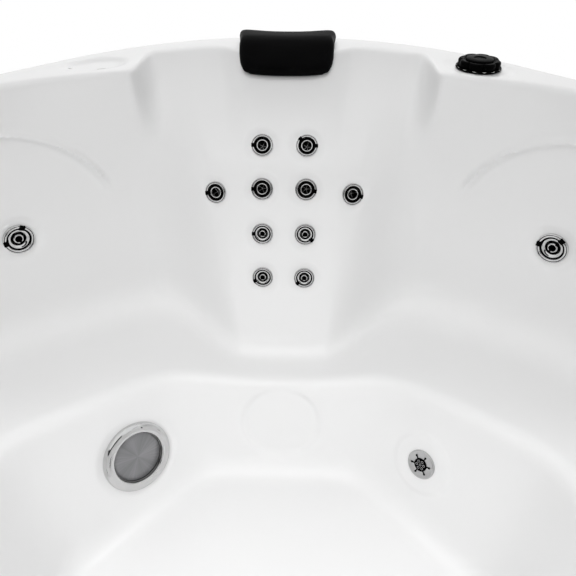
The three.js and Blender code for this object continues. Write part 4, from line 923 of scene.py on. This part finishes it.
def filter_plate():
    width, height = FILTER_MOUTH
    outer = (width + 2 * FILTER_BORDER, height + 2 * FILTER_BORDER)
    lift = GAP - SPOT_FACE
    bars = []
    for side in (-1, 1):
        upright = shift(side * (outer[0] - FILTER_BORDER * 1.35) / 2, 0, lift + 0.004)
        level = shift(0, side * (outer[1] - FILTER_BORDER) / 2, lift + 0.004)
        bars.append(block((FILTER_BORDER * 1.35, outer[1], 0.008), filter_frame @ upright, 0.0025))
        bars.append(block((outer[0] - 0.002, FILTER_BORDER, 0.0076), filter_frame @ level, 0.0022))
    pitch = height / LOUVRES
    for k in range(LOUVRES + 1):
        up = (k - LOUVRES / 2) * pitch
        tilt = shift(0, up, lift + 0.004) @ Matrix.Rotation(math.radians(28), 4, "X")
        bars.append(block((width + 0.01, pitch * 0.55, 0.003), filter_frame @ tilt, 0.001))
    piece("filter_grille", joined(bars), "white_acrylic", "tub", ["filter_plate"])


# Rim controls

def lobed_knob(radius, height, low, lobes, at):
    """A low knob with lobes round its edge and a raised disc on top."""
    edge = scaled([(0, 0), (0.92, 0), (1, 0.12), (1, 0.45)], radius, low, height)
    edge += arc((0.88 * radius, low + 0.52 * height), 0.12 * radius, 0, 85, 5)
    edge += scaled([(0.74, 0.80), (0.70, 0.66), (0.66, 0.66), (0.63, 0.94),
                    (0.58, 1), (0.30, 1), (0.27, 0.9), (0, 0.9)], radius, low, height)
    bm = turned(edge, Matrix(), 192)
    for vert in bm.verts:
        reach = math.hypot(vert.co.x, vert.co.y)
        if reach > 0.8 * radius:
            turn = math.atan2(vert.co.y, vert.co.x)
            scallop = abs(math.cos(lobes * turn / 2)) ** 0.6
            pull = 1 - 0.13 * (1 - scallop)
            vert.co.x *= pull
            vert.co.y *= pull
    bm.transform(at)
    return bm


def rim_valve(name, at, body, radius, height, flange, lobes):
    low = FLANGE_HEIGHT + 0.0002
    edge = flange + GAP
    slope = 0.0013
    plate = turned([(0, GAP), (edge, GAP), (edge, FLANGE_HEIGHT - slope), (edge - slope, FLANGE_HEIGHT),
                    (0, FLANGE_HEIGHT)], at, 96)
    piece(name + "_flange", plate, "black_plastic", "tub", slot="white_plastic")
    piece(name + "_grip", lobed_knob(radius, height, low, lobes, at), "black_plastic", body, [body])


def control_panel():
    top = GAP + 0.008
    plate = slot_plate(PANEL_LENGTH, PANEL_WIDTH, GAP, top, 0.0025, panel_frame)
    window = slot_plate(0.1, 0.02, top, top + 0.0003, 0, panel_frame @ shift(0, 0.024, 0))
    root = block((PANEL_LENGTH / 2 - 0.001, PANEL_WIDTH / 2 - 0.001, 0.028), panel_frame @ shift(0, 0, -0.0138))
    piece("control_fascia", joined([plate, root]), "black_plastic", "tub", ["control_panel"])
    piece("control_display", window, "lens", "tub")
    for i, place in enumerate((-1, 0, 1)):
        name = f"button_{i + 1}"
        at = panel_frame @ shift(place * 0.038, 0, 0)
        cap = [(0, 0.0026), (0.011, 0.0026), (0.011, top + 0.001)]
        cap += arc((0.0095, top + 0.001), 0.0015, 0, 90, 5) + [(0.006, top + 0.0023), (0, top + 0.0018)]
        piece(name + "_cap", turned(cap, at, 48), "steel", name, [name])
        well = [(0.0113, top - 0.001), (0.0135, top - 0.001), (0.0135, top + 0.0004), (0.0113, top + 0.0004),
                (0.0113, top - 0.001)]
        piece(name + "_collar", turned(well, at, 48), "dark_chrome", "tub", slot="steel")


# Headrest pillows

PILLOW_WIDTH = 0.241
PILLOW_TAPER = 0.02
PILLOW_CROWN = 0.030
PILLOW_EDGE = 0.006
PILLOW_OVER_RIM = 0.094
PILLOW_DOWN_BACK = 0.072
PILLOW_BEND_SHARE = 0.62
PILLOW_END_SHARE = 0.24
PILLOW_TOP_BOW = 0.03
PILLOW_SQUARE_TOP = 14
PILLOW_SADDLE = 0.28
PILLOW_LOW_BOW = 0.06
PILLOW_VOXEL = 0.0045
PILLOW_CAP = 0.006
SWELL_PRESSURE = 4
SWELL_FRAMES = 20


def pillow_track(share):
    """The line up the back and over the rim that the pillow lies on: a point and its outward direction."""
    rim = np.array((RIM_CHORD, TUB_HEIGHT))
    down = np.array((BACK_CHORD - RIM_CHORD, -BACK_DROP))
    down /= np.linalg.norm(down)
    start = rim + (PILLOW_OVER_RIM, 0)
    end = rim + down * PILLOW_DOWN_BACK
    before, after = rim + (ROUNDS[5], 0), rim + down * ROUNDS[5]
    curve = [start + (before - start) * i / 12 for i in range(12)]
    curve += [before * (1 - t) ** 2 + rim * 2 * t * (1 - t) + after * t ** 2 for t in np.linspace(0, 1, 13)]
    curve += [after + (end - after) * i / 12 for i in range(1, 13)]
    curve = np.array(curve)
    run = np.concatenate([[0], np.cumsum(np.linalg.norm(np.diff(curve, axis=0), axis=1))])
    at, ahead, behind = (
        np.array([np.interp(min(max(share + step, 0), 1) * run[-1], run, curve[:, k]) for k in (0, 1)])
        for step in (0, 0.03, -0.03))
    along = (ahead - behind) / np.linalg.norm(ahead - behind)
    return at, np.array((along[1], -along[0]))


def pillow_form(azimuth):
    """The foam before it swells: a cube divided finely and bent over the rim's edge."""
    bm = bmesh.new()
    bmesh.ops.create_grid(bm, x_segments=44, y_segments=32, size=1)
    top = set(extruded(bm, bm.faces[:])[0])
    turn = spin(azimuth)
    for vert in bm.verts:
        across, share = vert.co.x, (vert.co.y + 1) / 2
        start = PILLOW_TOP_BOW * (1 - across ** 2)
        end = 1 - PILLOW_LOW_BOW * abs(across) ** 3
        at, out = pillow_track(start + (end - start) * share)
        low_end = max(0.0, (share - PILLOW_BEND_SHARE) / (1 - PILLOW_BEND_SHARE))
        top_end = max(0.0, (0.10 - share) / 0.10)
        reach = (PILLOW_WIDTH - PILLOW_TAPER * share) / 2
        reach *= math.sqrt(1 - PILLOW_END_SHARE * low_end ** 3) * (1 - 0.02 * top_end ** 2)
        rise = 2 * GAP
        if vert in top:
            fullness = math.sqrt(max(0.0, 1 - abs(across) ** (4 + PILLOW_SQUARE_TOP * (1 - share))))
            fullness *= math.sqrt(max(0.0, 1 - (2 * share - 1) ** 4))
            saddle = 1 - PILLOW_SADDLE * (1 - across ** 2) * (1 - share)
            rise = PILLOW_EDGE + (PILLOW_CROWN - PILLOW_EDGE) * fullness * saddle
        vert.co = turn @ Vector((at[0] + out[0] * rise, -reach * across, at[1] + out[1] * rise))
    bmesh.ops.recalc_face_normals(bm, faces=bm.faces)
    return bm


def swollen(obj, cap):
    """Fills the skin with a cloth simulation, within a cap on how far a point may move."""
    remesh = obj.modifiers.new("voxels", "REMESH")
    remesh.mode = "VOXEL"
    remesh.voxel_size = PILLOW_VOXEL
    obj.data = applied(obj)
    count = len(obj.data.vertices)
    before = np.empty(count * 3)
    obj.data.vertices.foreach_get("co", before)
    cloth = obj.modifiers.new("swell", "CLOTH")
    cloth.settings.use_pressure = True
    cloth.settings.uniform_pressure_force = SWELL_PRESSURE
    cloth.settings.effector_weights.gravity = 0
    scene = bpy.context.scene
    for step in range(1, SWELL_FRAMES + 1):
        scene.frame_set(step)
    after = np.empty(count * 3)
    applied(obj).vertices.foreach_get("co", after)
    scene.frame_set(1)
    before, move = before.reshape(-1, 3), (after - before).reshape(-1, 3)
    far = np.maximum(np.linalg.norm(move, axis=1), 1e-9)
    move *= (np.minimum(far, cap) / far)[:, None]
    obj.data.vertices.foreach_set("co", (before + move).ravel())
    obj.data.update()


def smoothed(obj, rounds):
    bm = bmesh.new()
    bm.from_mesh(obj.data)
    for _ in range(rounds):
        bmesh.ops.smooth_vert(bm, verts=bm.verts, factor=0.5, use_axis_x=True, use_axis_y=True, use_axis_z=True)
    bm.to_mesh(obj.data)
    bm.free()


def pillows():
    azimuths = {"1": SEATS_ANGLE, "2": SEATS_ANGLE + 180, "3": SEATS_ANGLE - 90}
    first = None
    for number, azimuth in azimuths.items():
        name = "headrest_" + number
        obj = piece(name, pillow_form(SEATS_ANGLE), "black_foam", "tub", ["pillow_" + number], smooth_angle=0)
        if first is None:
            swollen(obj, PILLOW_CAP)
            smoothed(obj, 3)
            first = obj
        else:
            obj.data = first.data.copy()
            obj.data.transform(spin(azimuth - SEATS_ANGLE))
        obj.data.materials.clear()
        obj.data.materials.append(MATERIALS["black_foam"])
        obj.data.shade_smooth()
        fine = obj.modifiers.new("fine", "SUBSURF")
        fine.levels = 1
        fine.render_levels = 1


# Cabinet cladding

LIP_CLEARANCE = 0.008
SKIN_INSET = SHELL_WALL + LIP_CLEARANCE
SKIN_THICKNESS = 0.018
PAN_THICKNESS = 0.012
SLAT_GROOVE = 0.006
STRAIGHT = HALF - CORNER_RADIUS
SLATS_PER_SIDE = 6
SLATS_PER_CORNER = 8


def slat(width, low, high, where):
    """One board: a beveled block, divided across, and laid along the plan by a function."""
    bm = block((width - SLAT_GROOVE / 3, SKIN_THICKNESS, high - low), shift(0, 0, (low + high) / 2), 0.0028)
    for k in range(1, 5):
        at = (k / 5 - 0.5) * width
        bmesh.ops.bisect_plane(bm, geom=bm.verts[:] + bm.edges[:] + bm.faces[:], dist=1e-7,
                               plane_co=(at, 0, 0), plane_no=(1, 0, 0))
    for vert in bm.verts:
        vert.co = where(vert.co.x, vert.co.y, vert.co.z)
    return bm


def cabinet():
    low = PAN_THICKNESS + GAP
    high = TUB_HEIGHT - SHELL_WALL - GAP
    middle = SKIN_INSET + SKIN_THICKNESS / 2
    radius = CORNER_RADIUS - middle
    for i, name in enumerate(("right", "back", "left", "front")):
        turn = Matrix.Rotation(i * math.pi / 2, 4, "Z")
        width = 2 * STRAIGHT / SLATS_PER_SIDE
        boards = []
        for k in range(SLATS_PER_SIDE):
            along = (k + 0.5) * width - STRAIGHT
            boards.append(slat(width, low, high, lambda x, y, z: turn @ Vector((HALF - middle - y, along + x, z))))
        piece("cladding_" + name, joined(boards), "grey_cladding", "tub", ["panel_" + name])
        step = math.pi / 2 / SLATS_PER_CORNER
        boards = []
        for k in range(SLATS_PER_CORNER):
            facing = (k + 0.5) * step

            def bent(x, y, z):
                angle = facing + x / radius
                reach = radius - y
                return turn @ Vector((STRAIGHT + reach * math.cos(angle), STRAIGHT + reach * math.sin(angle), z))

            boards.append(slat(radius * step, low, high, bent))
        piece(f"corner_cladding_{i + 1}", joined(boards), "grey_cladding", "tub", [f"corner_panel_{i + 1}"])


# The rim's tray: a small round cap and a slot in it

def tray_details():
    cap = turned([(0, -TRAY_DEPTH - 0.001), (0.006, -TRAY_DEPTH - 0.001), (0.006, -TRAY_DEPTH + 0.0012),
                  (0.005, -TRAY_DEPTH + 0.0018), (0, -TRAY_DEPTH + 0.0018)],
                 tray_frame @ shift(0.055, -0.012, 0), 32)
    slot = slot_plate(0.018, 0.003, -TRAY_DEPTH - 0.001, -TRAY_DEPTH + 0.0003, 0, tray_frame @ shift(-0.008, 0.02, 0))
    piece("tray_cap", cap, "white_acrylic", "tub")
    piece("tray_slot", slot, "steel", "tub", slot="chrome")


# Nodes that keep their own mesh

def finish_nodes():
    slots = {row["node"]: row["material_slot"] for row in frame["record"]["subparts"]}
    for name, obj in frame["nodes"].items():
        obj.data.materials.clear()
        obj.data.materials.append(MATERIALS[slots[name]])


# Floor, light and camera

FLOOR_HALF = 9
FLOOR_FADE = (1.2, 3.2)


def stage():
    """The floor, which fades into plain white away from the tub."""
    bm = bmesh.new()
    bmesh.ops.create_grid(bm, x_segments=1, y_segments=1, size=FLOOR_HALF)
    finish = Finish("floor")
    away = finish.node("ShaderNodeVectorMath", [finish.place()], "Value", operation="LENGTH")
    far = finish.node("ShaderNodeMapRange", {"Value": away, "From Min": FLOOR_FADE[0], "From Max": FLOOR_FADE[1]},
                      interpolation_type="SMOOTHSTEP")
    rays = finish.nodes.new("ShaderNodeLightPath")
    seen = Value(finish, rays.outputs["Is Camera Ray"]) + Value(finish, rays.outputs["Is Glossy Ray"])
    seen = seen + Value(finish, rays.outputs["Is Transmission Ray"])
    glow = finish.node("ShaderNodeEmission", {"Color": (1, 1, 1), "Strength": 1.0})
    finish.surface(Base_Color=(0.86, 0.86, 0.86), Roughness=0.6)
    shade = Value(finish, finish.shader.outputs[0])
    mix = finish.node("ShaderNodeMixShader", [far * seen, shade, glow])
    finish.links.new(mix.socket, finish.nodes["Material Output"].inputs["Surface"])
    floor = made_object("floor", bm, finish.material)
    floor.location.z = -0.0005


CARD_REACH = 2.7
CARD_LEVELS = (1.15, 3.0)
CARD_SPAN = 110


def dark_card():
    """A dark curved card behind the camera, seen only in the gloss of the chrome and the shell."""
    bm = bmesh.new()
    low = bm.verts.new((CARD_REACH, 0, CARD_LEVELS[0]))
    high = bm.verts.new((CARD_REACH, 0, CARD_LEVELS[1]))
    bmesh.ops.spin(bm, geom=[low, high, bm.edges.new((low, high))], cent=(0, 0, 0), axis=(0, 0, 1),
                   dvec=(0, 0, 0), angle=math.radians(CARD_SPAN), steps=24, use_merge=False)
    bm.transform(spin(SEATS_ANGLE + 180 - CARD_SPAN / 2))
    card = made_object("dark_card", bm, Finish("dark_card").surface(Base_Color=(0.02, 0.02, 0.02), Roughness=0.9))
    card.visible_camera = card.visible_diffuse = card.visible_shadow = card.visible_transmission = False


WORLD_STRENGTH = 0.28


def world():
    """White wherever it is seen or mirrored, and a softer light on everything else."""
    made = bpy.data.worlds.new("studio")
    bpy.context.scene.world = made
    made.use_nodes = True
    nodes, links = made.node_tree.nodes, made.node_tree.links
    nodes.clear()
    rays = nodes.new("ShaderNodeLightPath")
    mix, out = nodes.new("ShaderNodeMixShader"), nodes.new("ShaderNodeOutputWorld")
    seen = rays.outputs["Is Camera Ray"]
    for kind in ("Is Glossy Ray", "Is Transmission Ray"):
        either = nodes.new("ShaderNodeMath")
        either.operation = "MAXIMUM"
        links.new(seen, either.inputs[0])
        links.new(rays.outputs[kind], either.inputs[1])
        seen = either.outputs[0]
    links.new(seen, mix.inputs[0])
    for i, strength in enumerate((WORLD_STRENGTH, 1)):
        white = nodes.new("ShaderNodeBackground")
        white.inputs["Color"].default_value = (1, 1, 1, 1)
        white.inputs["Strength"].default_value = strength
        links.new(white.outputs[0], mix.inputs[i + 1])
    links.new(mix.outputs[0], out.inputs["Surface"])


# Area lamps: place, size, power in watts and spread in degrees; each one faces the tub's middle
LAMPS = {
    "behind": ((2.1, 2.1, 2.7), 1.6, 52, 180),
    "pool": ((-0.2, -0.2, 3.2), 1.2, 4.1, 60),
    "fill": ((-1.3, -1.0, 2.6), 1.6, 26, 180),
    "inner": ((-0.45, -0.45, 0.8), 0.6, 0.8, 110),
}


def lamps():
    for name, (place, size, power, spread) in LAMPS.items():
        lamp = bpy.data.lights.new(name, "AREA")
        lamp.size = size
        lamp.energy = power
        lamp.spread = math.radians(spread)
        obj = bpy.data.objects.new(name, lamp)
        obj.location = place
        obj.visible_camera = obj.visible_glossy = False
        aim = Vector((0, 0, TUB_HEIGHT / 2)) - Vector(place)
        obj.rotation_euler = aim.to_track_quat("-Z", "Y").to_euler()
        bpy.context.scene.collection.objects.link(obj)


CAMERA_RIGHT = 0.0414
CAMERA_FORWARD = -0.307
CAMERA_HEIGHT = TUB_HEIGHT + 0.3549
CAMERA_TURN = 1.72
CAMERA_PITCH = 39.27
CAMERA_LENS = 33.375


def camera():
    data = bpy.data.cameras.new("camera")
    data.sensor_width = 36
    data.lens = CAMERA_LENS
    data.clip_start = 0.01
    obj = bpy.data.objects.new("camera", data)
    bpy.context.scene.collection.objects.link(obj)
    at = spin(SEATS_ANGLE) @ Vector((CAMERA_FORWARD, -CAMERA_RIGHT, CAMERA_HEIGHT))
    facing = math.radians(SEATS_ANGLE + CAMERA_TURN)
    tilt = math.radians(90 - CAMERA_PITCH)
    turn = Matrix.Rotation(facing - math.pi / 2, 4, "Z") @ Matrix.Rotation(tilt, 4, "X")
    obj.matrix_world = Matrix.Translation(at) @ turn
    bpy.context.scene.camera = obj


camera()
finish_nodes()
shell()
jets()
light()
drain()
for row, place in enumerate(suction_frames):
    suction(str(row + 1), place)
filter_plate()
rim_valve("diverter", diverter_frame, "diverter_knob", KNOB_RADIUS, KNOB_HEIGHT, KNOB_FLANGE, KNOB_LOBES)
rim_valve("air", air_frame, "air_knob", AIR_KNOB_RADIUS, AIR_KNOB_HEIGHT, AIR_KNOB_FLANGE, AIR_KNOB_LOBES)
control_panel()
pillows()
cabinet()
tray_details()
stage()
dark_card()
world()
lamps()
bpy.context.scene.view_settings.view_transform = "Standard"
